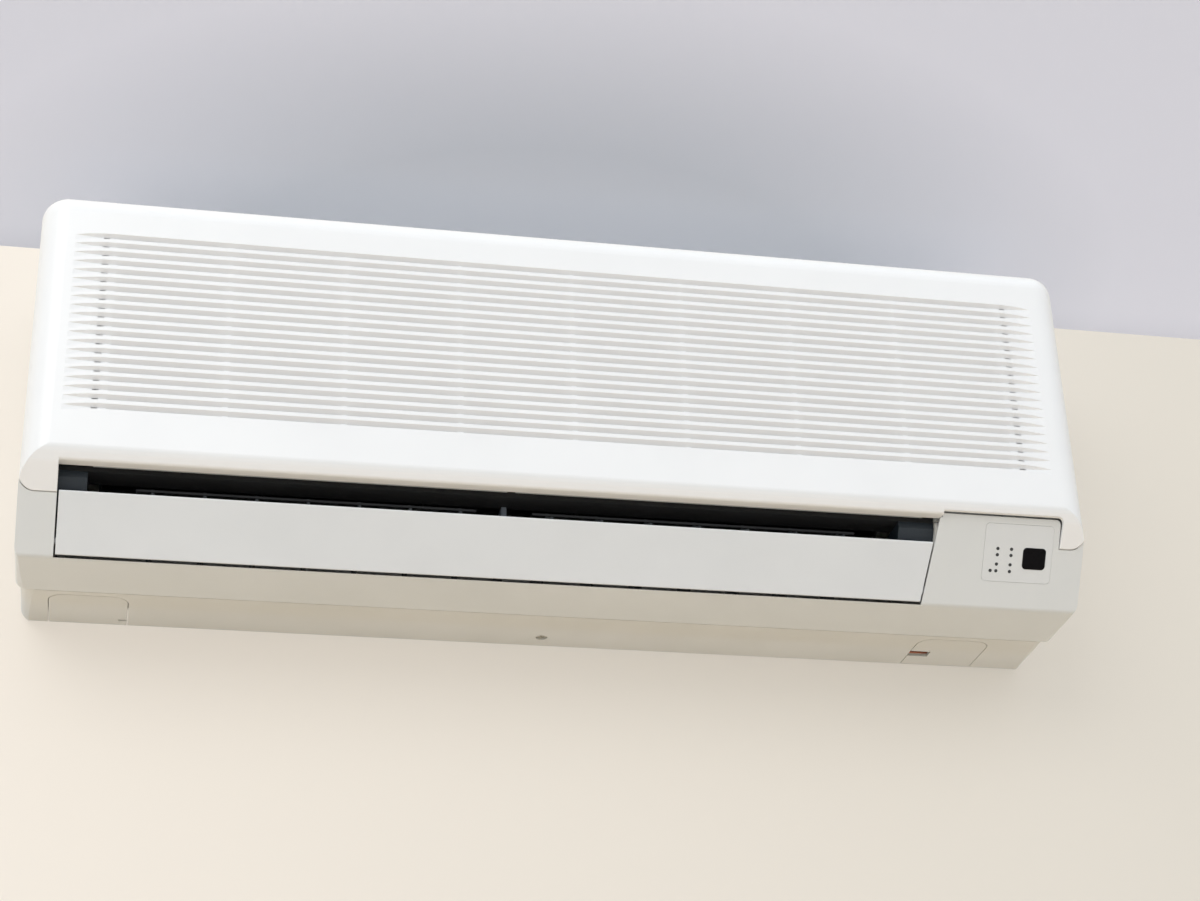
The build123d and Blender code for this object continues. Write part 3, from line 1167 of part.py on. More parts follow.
# ---- drain pan and pipes
def spout_place():
    """Middle of the drain spout, as depth and height."""
    return (PAN_BACK_DEPTH + PAN_FRONT_DEPTH) / 2, TUB_BOTTOM + WALL + SPOUT_LIFT + SPOUT_RADIUS


def drain_pan():
    """Trough under the coil; its underside is the ceiling of the outlet."""
    floor = PAN_TOP - PAN_TROUGH
    back, rise = PAN_CHAMFER
    points = [
        (PAN_BACK_DEPTH + 4 + back, TUB_BOTTOM),
        (PAN_FRONT_DEPTH, TUB_BOTTOM),
        (PAN_FRONT_DEPTH, PAN_TOP),
        (PAN_FRONT_DEPTH - PAN_WALL, PAN_TOP),
        (PAN_FRONT_DEPTH - PAN_WALL, floor),
        (PAN_BACK_DEPTH + 5, floor - 2),
        (PAN_BACK_DEPTH + 1, PAN_TOP),
        (PAN_BACK_DEPTH - 1, PAN_TOP + 3),
        (PAN_BACK_DEPTH - 2, PAN_TOP),
        (PAN_BACK_DEPTH + 4, TUB_BOTTOM + rise),
    ]
    ends = (OUTLET_LEFT + FIT_GAP, OUTLET_RIGHT - FIT_GAP)
    pan = along_x(points, *ends)
    for end in (ends[0], ends[1] - PAN_WALL):
        pan += block(end, end + PAN_WALL, PAN_BACK_DEPTH + 3, PAN_FRONT_DEPTH, floor - 3, PAN_TOP - 4)
    pan += rod_x(OUTLET_LEFT - SPOUT_LENGTH, OUTLET_LEFT + 4, *spout_place(), SPOUT_RADIUS)
    return pan - rod_x(OUTLET_LEFT - 2 * SPOUT_LENGTH, OUTLET_LEFT + 3, *spout_place(), SPOUT_RADIUS - PAN_WALL)


def drain_cap():
    end = OUTLET_LEFT - SPOUT_LENGTH
    cap = rod_x(end - 2, end, *spout_place(), SPOUT_RADIUS + 1)
    return cap + rod_x(end, end + 8, *spout_place(), SPOUT_RADIUS - PAN_WALL)


def pipe(row, radius, turn_x, run_height):
    """Pipe from a free tube end at the coil's right, back past the motor and along the wall."""
    along, inwards = tube_points("front")[row]
    start = section_place("front", FIN_RIGHT + END_PLATE + TUBE_STUB)
    start = start.origin + start.x_dir * along + start.y_dir * inwards
    points = [
        start,
        (turn_x, start.Y, start.Z),
        (turn_x, -PIPE_DROP_DEPTH, PIPE_DROP_HEIGHT),
        (turn_x - PIPE_BEND, -PIPE_RUN_DEPTH, run_height),
        (PIPE_END, -PIPE_RUN_DEPTH, run_height),
    ]
    path = FilletPolyline(*points, radius=PIPE_BEND)
    return sweep(Plane(origin=start, z_dir=(1, 0, 0)) * Circle(radius), path=path)


def flare_nut(radius, height):
    nut = extrude(Plane.YZ.offset(PIPE_END - 16) * RegularPolygon(NUT_RADIUS, 6, rotation=30), 16)
    return Pos(0, -PIPE_RUN_DEPTH, height) * nut


# ---- electric parts
def control_box():
    box = block(BOX_LEFT, BOX_RIGHT, BOX_BACK, BOX_FRONT, BOX_BOTTOM, BOX_TOP)
    return box - block(
        BOX_LEFT + BOX_WALL,
        BOX_RIGHT - BOX_WALL,
        BOX_BACK + BOX_WALL,
        BOX_FRONT + 1,
        BOX_BOTTOM + BOX_WALL,
        BOX_TOP - BOX_WALL,
    )


def control_cover():
    thick = 1.2
    return block(BOX_LEFT, BOX_RIGHT, BOX_FRONT, BOX_FRONT + thick, BOX_BOTTOM, BOX_TOP)


def control_board():
    margin = BOX_WALL + 2
    back = BOX_BACK + BOX_WALL
    board = block(BOX_LEFT + margin, BOX_RIGHT - margin, back, back + BOARD, BOX_BOTTOM + 48, BOX_TOP - margin)
    front = back + BOARD
    for i in range(4):
        x = BOX_LEFT + margin + 8 + 16 * i
        board += block(x, x + 9, front, front + 4, BOX_TOP - 30, BOX_TOP - 14)
    for i in range(3):
        x = BOX_LEFT + margin + 6 + 24 * i
        board += block(x, x + 14, front, front + 11, BOX_BOTTOM + 54, BOX_BOTTOM + 66)
    return board


def transformer():
    back = BOX_BACK + BOX_WALL + BOARD
    x = BOX_LEFT + 12
    core = block(x, x + 30, back, back + 20, BOX_BOTTOM + 74, BOX_BOTTOM + 98)
    return core + block(x + 6, x + 24, back, back + 24, BOX_BOTTOM + 77, BOX_BOTTOM + 95)


def capacitor():
    back = BOX_BACK + BOX_WALL + BOARD
    return Pos(BOX_RIGHT - 22, -back - 11, BOX_BOTTOM + 86) * Rot(90, 0, 0) * Cylinder(9, 22)


def terminal_block():
    back = BOX_BACK + BOX_WALL
    x = BOX_LEFT + 8
    strip = block(x, x + 60, back, back + 14, BOX_BOTTOM + 8, BOX_BOTTOM + 30)
    for i in range(5):
        strip -= block(x + 3 + 11.5 * i, x + 11 + 11.5 * i, back + 9, back + 15, BOX_BOTTOM + 7, BOX_BOTTOM + 31)
    return strip


def receiver_board():
    """Small board behind the display, with the infrared receiver."""
    back = -RECEIVER_BOARD_BACK
    board = on_face(COVER_LEFT + 6, COVER_RIGHT - 6, COVER_LOW + 5, COVER_HIGH - 5, back, back + BOARD)
    middle = (IR_LEFT + IR_RIGHT) / 2
    height = (IR_LOW + IR_HIGH) / 2
    return board + on_face(middle - 5, middle + 5, height - 4, height + 4, back, -3.2)


def lamp_places():
    spots = [(x, height) for x in LAMP_COLUMNS for height in LAMP_ROWS]
    return spots + [LAMP_EXTRA]


def lamp_round(x, height, radius, out_from, out_to):
    steep = radians(FACE_SLOPE)
    face = Plane(origin=(0, -CREASE_DEPTH, 0), x_dir=(1, 0, 0), z_dir=(0, -sin(steep), -cos(steep)))
    return extrude(face.offset(out_from) * Pos(x, slope(height)) * Circle(radius), out_to - out_from)


def display_cover():
    cover = on_face(COVER_LEFT, COVER_RIGHT, COVER_LOW, COVER_HIGH, -COVER_RECESS, 0.1, COVER_CORNER)
    cover -= on_face(IR_LEFT, IR_RIGHT, IR_LOW, IR_HIGH, -5, 5, IR_CORNER)
    for x, height in lamp_places():
        cover -= lamp_round(x, height, LAMP_RADIUS, -5, 5)
    return cover


def ir_window():
    window = on_face(IR_LEFT, IR_RIGHT, IR_LOW, IR_HIGH, -COVER_RECESS - 0.8, 0.3, IR_CORNER)
    return window + on_face(
        IR_LEFT - 1.2, IR_RIGHT + 1.2, IR_LOW - 1, IR_HIGH + 1, -COVER_RECESS - 1.6, -COVER_RECESS, IR_CORNER
    )


def indicator_lamps():
    return Compound([lamp_round(x, h, LAMP_RADIUS, -COVER_RECESS - 1.2, 0.2) for x, h in lamp_places()])


def emergency_button():
    """Push button on the front frame, reached with the panel open."""
    front = DEPTH - TUB_INSET
    back = front - TUB_FRONT_WALL
    length = BUTTON_PROUD + TUB_FRONT_WALL + BUTTON_TRAVEL
    stem = Pos(BUTTON_X, -(front + BUTTON_PROUD - length / 2), BUTTON_HEIGHT) * Rot(90, 0, 0)
    button = stem * Cylinder(BUTTON_RADIUS, length)
    flange = Pos(BUTTON_X, -(back - 1), BUTTON_HEIGHT) * Rot(90, 0, 0)
    return button + flange * Cylinder(BUTTON_RADIUS + 1.5, 1.2)


def coil_sensor():
    """Probe clipped beside the coil's upright section, at its right end."""
    x = FIN_RIGHT + END_PLATE
    height = COIL_FRONT_TOP - 6
    depth = COIL_FRONT_DEPTH - FIN_THICKNESS / 2
    return block(x, x + 3, depth - 5, depth + 5, height - 2, height + 2) + rod_x(x, x + 12, depth, height, 2.2)


def underside_screw():
    """Round headed screw in a boss of the chassis."""
    head_low = -UNDERSIDE_SAG * BASE_SCREW_DEPTH / SEAM_DEPTH + 1.6
    head = 2.4
    base = Pos(BASE_SCREW_X, -BASE_SCREW_DEPTH, head_low + head / 2) * Cylinder(SCREW_HEAD_RADIUS, head)
    shank_middle = head_low + head + SCREW_LENGTH / 2
    base += Pos(BASE_SCREW_X, -BASE_SCREW_DEPTH, shank_middle) * Cylinder(SCREW_SHANK_RADIUS, SCREW_LENGTH)
    return base


def main():
    os.makedirs("parts", exist_ok=True)
    shell = body(0) - body(WALL)
    places = vane_places()
    groups = {"left": (places[:VANE_COUNT], 0), "right": (places[VANE_COUNT:], VANE_REST_RIGHT)}
    tray = chassis_tray()
    save("front_panel", front_panel())
    save("front_casing", front_casing(shell))
    save("rear_chassis", rear_chassis(tray))
    save("mounting_plate", mounting_plate())
    save("release_tab_left", release_tab(tray, TAB_LEFT, TAB_LEFT + TAB_WIDTH - TAB_NICK[0], TAB_NICK))
    save("release_tab_right", release_tab(tray, TAB_RIGHT, TAB_RIGHT, TAB_SLOT))
    for side, (group, turn) in groups.items():
        for number, pivot_x in enumerate(group, 1):
            save(f"vane_{side}_{number}", vane(pivot_x, turn))
        save(f"vane_rod_{side}", link_rod(group, turn))
    save("outlet_centre_post", outlet_post())
    save("outlet_end_block_left", end_block(OUTLET_LEFT, OUTLET_LEFT + BLOCK_LEFT))
    save("outlet_end_block_right", end_block(OUTLET_RIGHT - BLOCK_RIGHT, OUTLET_RIGHT))
    save("flap", flap())
    save("flap_motor", flap_motor())
    for side, ends in (("left", FILTER_LEFT), ("right", FILTER_RIGHT)):
        frame, net = filter_parts(*ends)
        save(f"filter_frame_{side}", frame)
        save(f"filter_net_{side}", net)
    save("fan_rotor", fan_rotor())
    save("fan_shafts", fan_shafts())
    save("fan_bearing", fan_bearing())
    save("fan_motor", fan_motor())
    save("motor_clamp", motor_clamp())
    for name in coil_sections():
        save(f"coil_fins_{name}", fin_pack(name))
    save("coil_end_plates_left", end_plates(FIN_LEFT - END_PLATE))
    save("coil_end_plates_right", end_plates(FIN_RIGHT))
    save("coil_tubes", coil_tubes())
    save("drain_pan", drain_pan())
    save("drain_cap", drain_cap())
    second_row = len(tube_points("front")) // 2
    save("gas_pipe", pipe(0, GAS_RADIUS, GAS_TURN, GAS_HEIGHT))
    save("liquid_pipe", pipe(second_row, LIQUID_RADIUS, LIQUID_TURN, LIQUID_HEIGHT))
    save("flare_nuts", Compound([flare_nut(GAS_RADIUS, GAS_HEIGHT), flare_nut(LIQUID_RADIUS, LIQUID_HEIGHT)]))
    save("control_box", control_box())
    save("control_cover", control_cover())
    save("control_board", control_board())
    save("transformer", transformer())
    save("capacitor", capacitor())
    save("terminal_block", terminal_block())
    save("receiver_board", receiver_board())
    save("display_cover", display_cover())
    save("ir_window", ir_window())
    save("indicator_lamps", indicator_lamps())
    save("emergency_button", emergency_button())
    save("coil_sensor", coil_sensor())
    save("underside_screw", underside_screw())


main()
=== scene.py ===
import json
import math
import bpy
from mathutils import Matrix, Vector


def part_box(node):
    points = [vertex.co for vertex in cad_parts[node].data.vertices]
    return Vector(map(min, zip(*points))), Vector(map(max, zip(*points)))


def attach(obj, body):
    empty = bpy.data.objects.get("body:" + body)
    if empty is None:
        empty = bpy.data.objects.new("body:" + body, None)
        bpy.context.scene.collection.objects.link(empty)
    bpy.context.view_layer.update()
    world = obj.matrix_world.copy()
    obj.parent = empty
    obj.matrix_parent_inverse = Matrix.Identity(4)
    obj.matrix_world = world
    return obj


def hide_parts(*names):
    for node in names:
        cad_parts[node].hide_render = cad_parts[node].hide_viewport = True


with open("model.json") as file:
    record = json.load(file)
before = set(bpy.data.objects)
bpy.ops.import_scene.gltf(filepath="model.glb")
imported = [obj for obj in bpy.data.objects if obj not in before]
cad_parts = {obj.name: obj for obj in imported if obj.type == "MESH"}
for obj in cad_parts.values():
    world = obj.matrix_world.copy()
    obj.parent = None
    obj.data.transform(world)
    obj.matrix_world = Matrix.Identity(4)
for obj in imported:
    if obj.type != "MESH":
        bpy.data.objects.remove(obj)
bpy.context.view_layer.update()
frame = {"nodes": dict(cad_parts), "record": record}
mm = 0.001
x, y, z = 0, 1, 2             # the numbers' order in a corner of a box
partRecord = frame["record"]
nodeSlots = {part["node"]: part["material_slot"] for part in partRecord["subparts"]}
nodeBodies = {node: body for body, nodes in partRecord["behaviour"]["bodies"].items() for node in nodes}
print("frame loaded,", len(frame["nodes"]), "nodes")


# the camera stands under the unit's left half and looks up at it
cameraView = {
    "position": (-0.3173, -1.6865, -0.8852),
    "turnRight": 12.375,          # degrees, as the next two
    "tiltUp": 28.111,
    "roll": -2.147,
    "focalPixels": 2386.2,
    "imagePixels": 1200,          # the photograph's width
    "sensorWidth": 36,
    "nearest": 0.05,
    "farthest": 60,
}


def addCamera(view):
    yaw, tilt, roll = (math.radians(view[k]) for k in ("turnRight", "tiltUp", "roll"))
    forward = Vector((math.sin(yaw) * math.cos(tilt), math.cos(yaw) * math.cos(tilt), math.sin(tilt)))
    levelRight = Vector((math.cos(yaw), -math.sin(yaw), 0))
    levelUp = levelRight.cross(forward)
    right = math.cos(roll) * levelRight + math.sin(roll) * levelUp
    up = right.cross(forward)
    bpy.ops.object.camera_add(location=view["position"])
    camera = bpy.context.object
    camera.name = "photoCamera"
    camera.rotation_euler = Matrix((right, up, -forward)).transposed().to_euler()
    camera.data.sensor_width = view["sensorWidth"]
    camera.data.lens = view["sensorWidth"] * view["focalPixels"] / view["imagePixels"]
    camera.data.clip_start = view["nearest"]
    camera.data.clip_end = view["farthest"]
    bpy.context.scene.camera = camera


addCamera(cameraView)
print("camera set")


def shade(red, green, blue):
    # 0 to 255 as seen on screen, turned into the linear colour that a socket takes
    def linear(value):
        value /= 255
        return value / 12.92 if value <= 0.04045 else ((value + 0.055) / 1.055) ** 2.4
    return (linear(red), linear(green), linear(blue), 1)


plainWhite = (1, 1, 1, 1)
mixSockets = {"factor": 0, "first": 6, "second": 7, "result": 2}  # of a Mix node set to colours


def feed(tree, socket, value):
    # a socket takes another node's output or a plain value
    if isinstance(value, bpy.types.NodeSocket):
        tree.links.new(value, socket)
    else:
        socket.default_value = value


def addNode(tree, kind, settings=None, **sockets):
    # a socket's name is written with _ for each space
    node = tree.nodes.new(kind)
    for name, value in (settings or {}).items():
        setattr(node, name, value)
    for label, value in sockets.items():
        feed(tree, node.inputs[label.replace("_", " ")], value)
    return node


def feedInOrder(tree, node, *values):
    for socket, value in zip(node.inputs, values):
        feed(tree, socket, value)
    return node


def compute(tree, operation, first, second, clamp=False):
    node = addNode(tree, "ShaderNodeMath", {"operation": operation, "use_clamp": clamp})
    return feedInOrder(tree, node, first, second).outputs[0]


def remap(tree, value, fromLow, fromHigh, toLow=0.0, toHigh=1.0):
    node = addNode(tree, "ShaderNodeMapRange")
    return feedInOrder(tree, node, value, fromLow, fromHigh, toLow, toHigh).outputs[0]


def blendColours(tree, factor, first, second, mode="MIX"):
    node = addNode(tree, "ShaderNodeMix", {"data_type": "RGBA", "blend_type": mode})
    for label, value in (("factor", factor), ("first", first), ("second", second)):
        feed(tree, node.inputs[mixSockets[label]], value)
    return node.outputs[mixSockets["result"]]


def objectPlace(tree, scale=(1, 1, 1), shift=(0, 0, 0)):
    place = addNode(tree, "ShaderNodeTexCoord").outputs["Object"]
    return addNode(tree, "ShaderNodeMapping", Vector=place, Location=shift, Scale=scale).outputs[0]


def addNoise(tree, place, scale, **sockets):
    return addNode(tree, "ShaderNodeTexNoise", Vector=place, Scale=scale, **sockets).outputs[0]


def newGroup(name, inputs, outputs):
    # a shader node group whose sockets all carry plain numbers
    tree = bpy.data.node_groups.new(name, "ShaderNodeTree")
    for label, value in inputs.items():
        socket = tree.interface.new_socket(label, in_out="INPUT", socket_type="NodeSocketFloat")
        socket.default_value = value
    for label in outputs:
        tree.interface.new_socket(label, in_out="OUTPUT", socket_type="NodeSocketFloat")
    return tree, addNode(tree, "NodeGroupInput").outputs


# effects that several finishes share, each a node group
def makeMouldGrain():
    # fine spark eroded grain of a mould, with the slow waviness of a shrunk wall
    inputs = {"Grain Per Metre": 2400, "Wave Per Metre": 14, "Wave": 0.3}
    tree, given = newGroup("mouldGrain", inputs, ("Height", "Tone"))
    place = objectPlace(tree)
    grain = addNoise(tree, place, given["Grain Per Metre"], Detail=3.0, Roughness=0.6)
    wave = addNoise(tree, place, given["Wave Per Metre"], Detail=2.0)
    height = compute(tree, "ADD", grain, compute(tree, "MULTIPLY", wave, given["Wave"]))
    addNode(tree, "NodeGroupOutput", Height=height, Tone=wave)
    return tree


handlingLook = {
    "dustSlope": (0.25, 0.95),    # upward part of the normal where dust starts to lie, and lies fully
    "dustPatches": {"scale": 26.0, "Detail": 6.0, "Roughness": 0.65},
    "patchRange": (0.3, 0.7),     # of the patches' noise
    "patchDust": (0.35, 1.0),     # dust between the patches, and in them
    "smearStretch": (1, 1, 0.25),
    "smearStreaks": {"scale": 19.0, "Detail": 8.0, "Roughness": 0.7},
    "smearRange": (0.52, 0.78),
}


def makeHandling():
    # dust that settles on what faces up, and faint smears that fingers and cloths leave
    look = handlingLook
    tree, given = newGroup("handling", {"Dust": 0.3, "Smears": 0.3}, ("Dust Mask", "Smear Mask"))
    normal = addNode(tree, "ShaderNodeNewGeometry").outputs["Normal"]
    upward = addNode(tree, "ShaderNodeSeparateXYZ", Vector=normal).outputs["Z"]
    patches = addNoise(tree, objectPlace(tree), **look["dustPatches"])
    patchDust = remap(tree, patches, *look["patchRange"], *look["patchDust"])
    settled = compute(tree, "MULTIPLY", remap(tree, upward, *look["dustSlope"]), patchDust)
    dust = compute(tree, "MULTIPLY", settled, given["Dust"])
    streaks = addNoise(tree, objectPlace(tree, look["smearStretch"]), **look["smearStreaks"])
    smears = compute(tree, "MULTIPLY", remap(tree, streaks, *look["smearRange"]), given["Smears"])
    addNode(tree, "NodeGroupOutput", Dust_Mask=dust, Smear_Mask=smears)
    return tree


drawnLinesLook = {
    "stretch": (0.012, 1, 1),     # along the width, as the broad bands' too
    "bandStretch": (0.1, 1, 1),
    "bandsPerMetre": 55.0,
}


def makeDrawnLines():
    # fine parallel lines that rolling, drawing or brushing leaves along the width
    look = drawnLinesLook
    tree, given = newGroup("drawnLines", {"Lines Per Metre": 3000}, ("Height", "Tone"))
    lines = addNoise(tree, objectPlace(tree, look["stretch"]), given["Lines Per Metre"], Detail=2.0)
    bands = addNoise(tree, objectPlace(tree, look["bandStretch"]), look["bandsPerMetre"], Detail=3.0)
    addNode(tree, "NodeGroupOutput", Height=lines, Tone=bands)
    return tree


spangleLook = {"bendsPerMetre": 300.0, "bendReach": 0.002}  # what makes the flakes' edges uneven


def makeSpangle():
    # crystal flakes of hot dip galvanised sheet
    look = spangleLook
    tree, given = newGroup("spangle", {"Flakes Per Metre": 160}, ("Tone", "Height"))
    place = objectPlace(tree)
    bend = addNode(tree, "ShaderNodeTexNoise", Vector=place, Scale=look["bendsPerMetre"], Detail=2.0)
    nudge = addNode(tree, "ShaderNodeVectorMath", {"operation": "SCALE"}, Scale=look["bendReach"])
    feedInOrder(tree, nudge, bend.outputs["Color"])
    moved = addNode(tree, "ShaderNodeVectorMath", {"operation": "ADD"})
    moved = feedInOrder(tree, moved, place, nudge.outputs[0]).outputs[0]
    flakes = addNode(tree, "ShaderNodeTexVoronoi", Scale=given["Flakes Per Metre"], Vector=moved)
    tone = addNode(tree, "ShaderNodeSeparateColor", Color=flakes.outputs["Color"]).outputs[0]
    addNode(tree, "NodeGroupOutput", Tone=tone, Height=flakes.outputs["Distance"])
    return tree


patinaLook = {
    "cloud": {"Detail": 7.0, "Roughness": 0.62},
    "bareEdge": 0.72,             # of the cloud's noise: blotches start above it where the cover is 0
    "coverDrop": 0.4,             # how far a cover of 1 lowers that edge
    "edgeBelow": 0.12,
    "edgeAbove": 0.06,
    "spotsPerMetre": 900.0,
    "spotRange": (0.6, 0.72),
}


def makePatina():
    # blotches of oxide, with darker spots
    look = patinaLook
    tree, given = newGroup("patina", {"Blotches Per Metre": 60, "Cover": 0.4}, ("Mask", "Spots"))
    place = objectPlace(tree)
    cloud = addNoise(tree, place, given["Blotches Per Metre"], **look["cloud"])
    drop = compute(tree, "MULTIPLY", given["Cover"], look["coverDrop"])
    edge = compute(tree, "SUBTRACT", look["bareEdge"], drop)
    starts = compute(tree, "SUBTRACT", edge, look["edgeBelow"])
    full = compute(tree, "ADD", edge, look["edgeAbove"])
    mask = remap(tree, cloud, starts, full)
    spots = remap(tree, addNoise(tree, place, look["spotsPerMetre"], Detail=3.0), *look["spotRange"])
    addNode(tree, "NodeGroupOutput", Mask=mask, Spots=spots)
    return tree


effects = {
    "mouldGrain": makeMouldGrain(),
    "handling": makeHandling(),
    "drawnLines": makeDrawnLines(),
    "spangle": makeSpangle(),
    "patina": makePatina(),
}
print("shader effects built:", len(effects))


def placeEffect(tree, name, **values):
    return addNode(tree, "ShaderNodeGroup", {"node_tree": effects[name]}, **values).outputs


def startMaterial(name):
    material = bpy.data.materials.new(name)
    material.use_nodes = True
    material.node_tree.nodes.clear()
    return material, material.node_tree


def endMaterial(tree, **sockets):
    surface = addNode(tree, "ShaderNodeBsdfPrincipled", **sockets)
    addNode(tree, "ShaderNodeOutputMaterial", Surface=surface.outputs[0])


def addBump(tree, height, depth):
    return addNode(tree, "ShaderNodeBump", Strength=1.0, Distance=depth, Height=height).outputs[0]


def finishLook(first, second, wear=None, **more):
    # a finish drifts between two close colours, given from 0 to 255
    return {**(wear or {}), "colour": shade(*first), "second": shade(*second), **more}


# what holds for every moulded plastic that names nothing else
plasticBase = {
    "gloss": 0.0,
    "glossRoughness": 0.18,
    "specular": 0.5,
    "grain": 2400,
    "grainDepth": 0.04 * mm,
    "wave": 0.3,
    "dust": 0.3,
    "dustColour": shade(178, 170, 156),
    "dustDulls": 0.3,             # roughness that full dust adds
    "smears": 0.3,
    "smearDulls": 0.22,
    "toneRange": (0.3, 0.7),      # of the slow wave, spread over the two colours
    "undersideRange": (-0.3, -0.65),  # upward part of the normal, from a side's colour to the painted paler colour of an underside
}


def mouldedPlastic(name, ownLook):
    # injection moulded plastic: grain, slow tone changes, dust on top, smears in the gloss
    look = {**plasticBase, **ownLook}
    material, tree = startMaterial(name)
    grain = placeEffect(tree, "mouldGrain", Grain_Per_Metre=look["grain"], Wave=look["wave"])
    touch = placeEffect(tree, "handling", Dust=look["dust"], Smears=look["smears"])
    tone = remap(tree, grain["Tone"], *look["toneRange"])
    body = blendColours(tree, tone, look["colour"], look["second"])
    if "underside" in look:       # painted light: what faces down is painted paler, standing in for light in the shaded louvre grooves and under the lip
        facing = addNode(tree, "ShaderNodeTexCoord").outputs["Normal"]
        upward = addNode(tree, "ShaderNodeSeparateXYZ", Vector=facing).outputs["Z"]
        body = blendColours(tree, remap(tree, upward, *look["undersideRange"]), body, look["underside"])
    clean = look["roughness"]
    smeared = remap(tree, touch["Smear Mask"], 0, 1, clean, min(clean + look["smearDulls"], 1))
    dulled = compute(tree, "MULTIPLY", touch["Dust Mask"], look["dustDulls"])
    endMaterial(
        tree,
        Base_Color=blendColours(tree, touch["Dust Mask"], body, look["dustColour"]),
        Roughness=compute(tree, "ADD", smeared, dulled, True),
        Specular_IOR_Level=look["specular"],
        Coat_Weight=look["gloss"],
        Coat_Roughness=look["glossRoughness"],
        Normal=addBump(tree, grain["Height"], look["grainDepth"]),
    )
    return material


whiteWear = {
    "gloss": 0.25, "grain": 1600, "grainDepth": 0.02 * mm, "wave": 0.5, "dust": 0.16, "smears": 0.25,
}
rubberWear = {"grain": 1300, "grainDepth": 0.08 * mm, "dust": 0.4}
plasticLooks = {
    # painted light: the panel's faces that point down get a paler colour than their own
    "panel_white": finishLook(
        (239, 241, 242), (236, 238, 239), whiteWear, roughness=0.34, underside=shade(255, 255, 255)
    ),
    "casing_white": finishLook((231, 233, 232), (227, 229, 228), whiteWear, roughness=0.38),
    "flap_white": finishLook((235, 238, 240), (231, 234, 236), whiteWear, roughness=0.36),
    "chassis_plastic": finishLook(
        (230, 229, 224), (225, 224, 218), whiteWear, roughness=0.48, gloss=0.08, grainDepth=0.05 * mm
    ),
    "cover_film": finishLook(
        (231, 233, 233), (228, 230, 230), whiteWear,
        roughness=0.3, gloss=0.3, grainDepth=0.005 * mm, dust=0.05,
    ),
    "ir_black": finishLook(
        (10, 10, 12), (14, 11, 13),
        roughness=0.25, specular=0.08, grainDepth=0.003 * mm, dust=0.05, smears=0.4,
    ),
    "lamp_mark": finishLook((26, 28, 30), (36, 38, 40), roughness=0.3, gloss=0.5, dust=0.05),
    "button_grey": finishLook((150, 154, 160), (140, 144, 150), roughness=0.4, dust=0.2),
    "duct_grey": finishLook(
        (112, 118, 126), (98, 104, 112), roughness=0.55, dust=0.5, grainDepth=0.06 * mm
    ),
    "duct_dark": finishLook((38, 48, 56), (32, 41, 49), roughness=0.5, dust=0.35, grainDepth=0.06 * mm),
    "vane_dark": finishLook(
        (104, 108, 112), (92, 96, 100), roughness=0.5, dust=0.5, grainDepth=0.05 * mm
    ),
    "rod_dark": finishLook((34, 37, 42), (28, 31, 36), roughness=0.5, dust=0.3, grainDepth=0.05 * mm),
    "filter_frame": finishLook((196, 202, 206), (184, 191, 196), roughness=0.5, dust=0.4),
    "fan_plastic": finishLook(
        (44, 45, 48), (34, 35, 38), roughness=0.55, dust=0.8, dustColour=shade(120, 114, 104)
    ),
    "box_plastic": finishLook((64, 65, 68), (54, 55, 58), roughness=0.55, dust=0.5),
    "capacitor_case": finishLook((42, 50, 66), (36, 43, 58), roughness=0.3, gloss=0.5, dust=0.3),
    "terminal_plastic": finishLook((214, 209, 194), (204, 198, 182), roughness=0.45, dust=0.3),
    "foam_pan": finishLook(
        (34, 35, 36), (28, 29, 30), roughness=0.7, grain=900, grainDepth=0.15 * mm, dust=0.3
    ),
    "cap_rubber": finishLook((34, 34, 35), (42, 42, 43), rubberWear, roughness=0.7),
    "bearing_rubber": finishLook((30, 30, 31), (38, 38, 39), rubberWear, roughness=0.72),
    "motor_case": finishLook(
        (150, 152, 154), (138, 140, 143),
        roughness=0.4, grain=700, grainDepth=0.08 * mm, gloss=0.3, dust=0.5,
    ),
    "transformer_tape": finishLook(
        (196, 160, 62), (178, 142, 50), roughness=0.35, gloss=0.3, grain=500, dust=0.3
    ),
    "circuit_board": finishLook((30, 92, 58), (24, 78, 50), roughness=0.3, gloss=0.5, dust=0.2),
    "filter_net": finishLook((70, 74, 82), (58, 62, 70), roughness=0.6, dust=0.5),
}

# what holds for every drawn metal
metalBase = {
    "lineDepth": 0.02 * mm,
    "toneRange": (0.3, 0.7),      # of the broad bands, spread over the two colours
    "stainShare": 0.7,            # how much of a blotch is the tarnish's colour
    "spotShare": 0.25,
    "stainDulls": 0.25,           # roughness that a blotch adds
}


def drawnMetal(name, ownLook):
    # rolled, drawn or machined metal with tarnish
    look = {**metalBase, **ownLook}
    material, tree = startMaterial(name)
    lines = placeEffect(tree, "drawnLines", Lines_Per_Metre=look["lines"])
    stain = placeEffect(tree, "patina", Blotches_Per_Metre=look["blotches"], Cover=look["cover"])
    tone = remap(tree, lines["Tone"], *look["toneRange"])
    metal = blendColours(tree, tone, look["colour"], look["second"])
    for mask, share in (("Mask", "stainShare"), ("Spots", "spotShare")):
        cover = compute(tree, "MULTIPLY", stain[mask], look[share])
        metal = blendColours(tree, cover, metal, look["tarnish"])
    clean = look["roughness"]
    endMaterial(
        tree,
        Base_Color=metal,
        Roughness=remap(tree, stain["Mask"], 0, 1, clean, min(clean + look["stainDulls"], 1)),
        Metallic=1.0,
        Normal=addBump(tree, lines["Height"], look["lineDepth"]),
    )
    return material


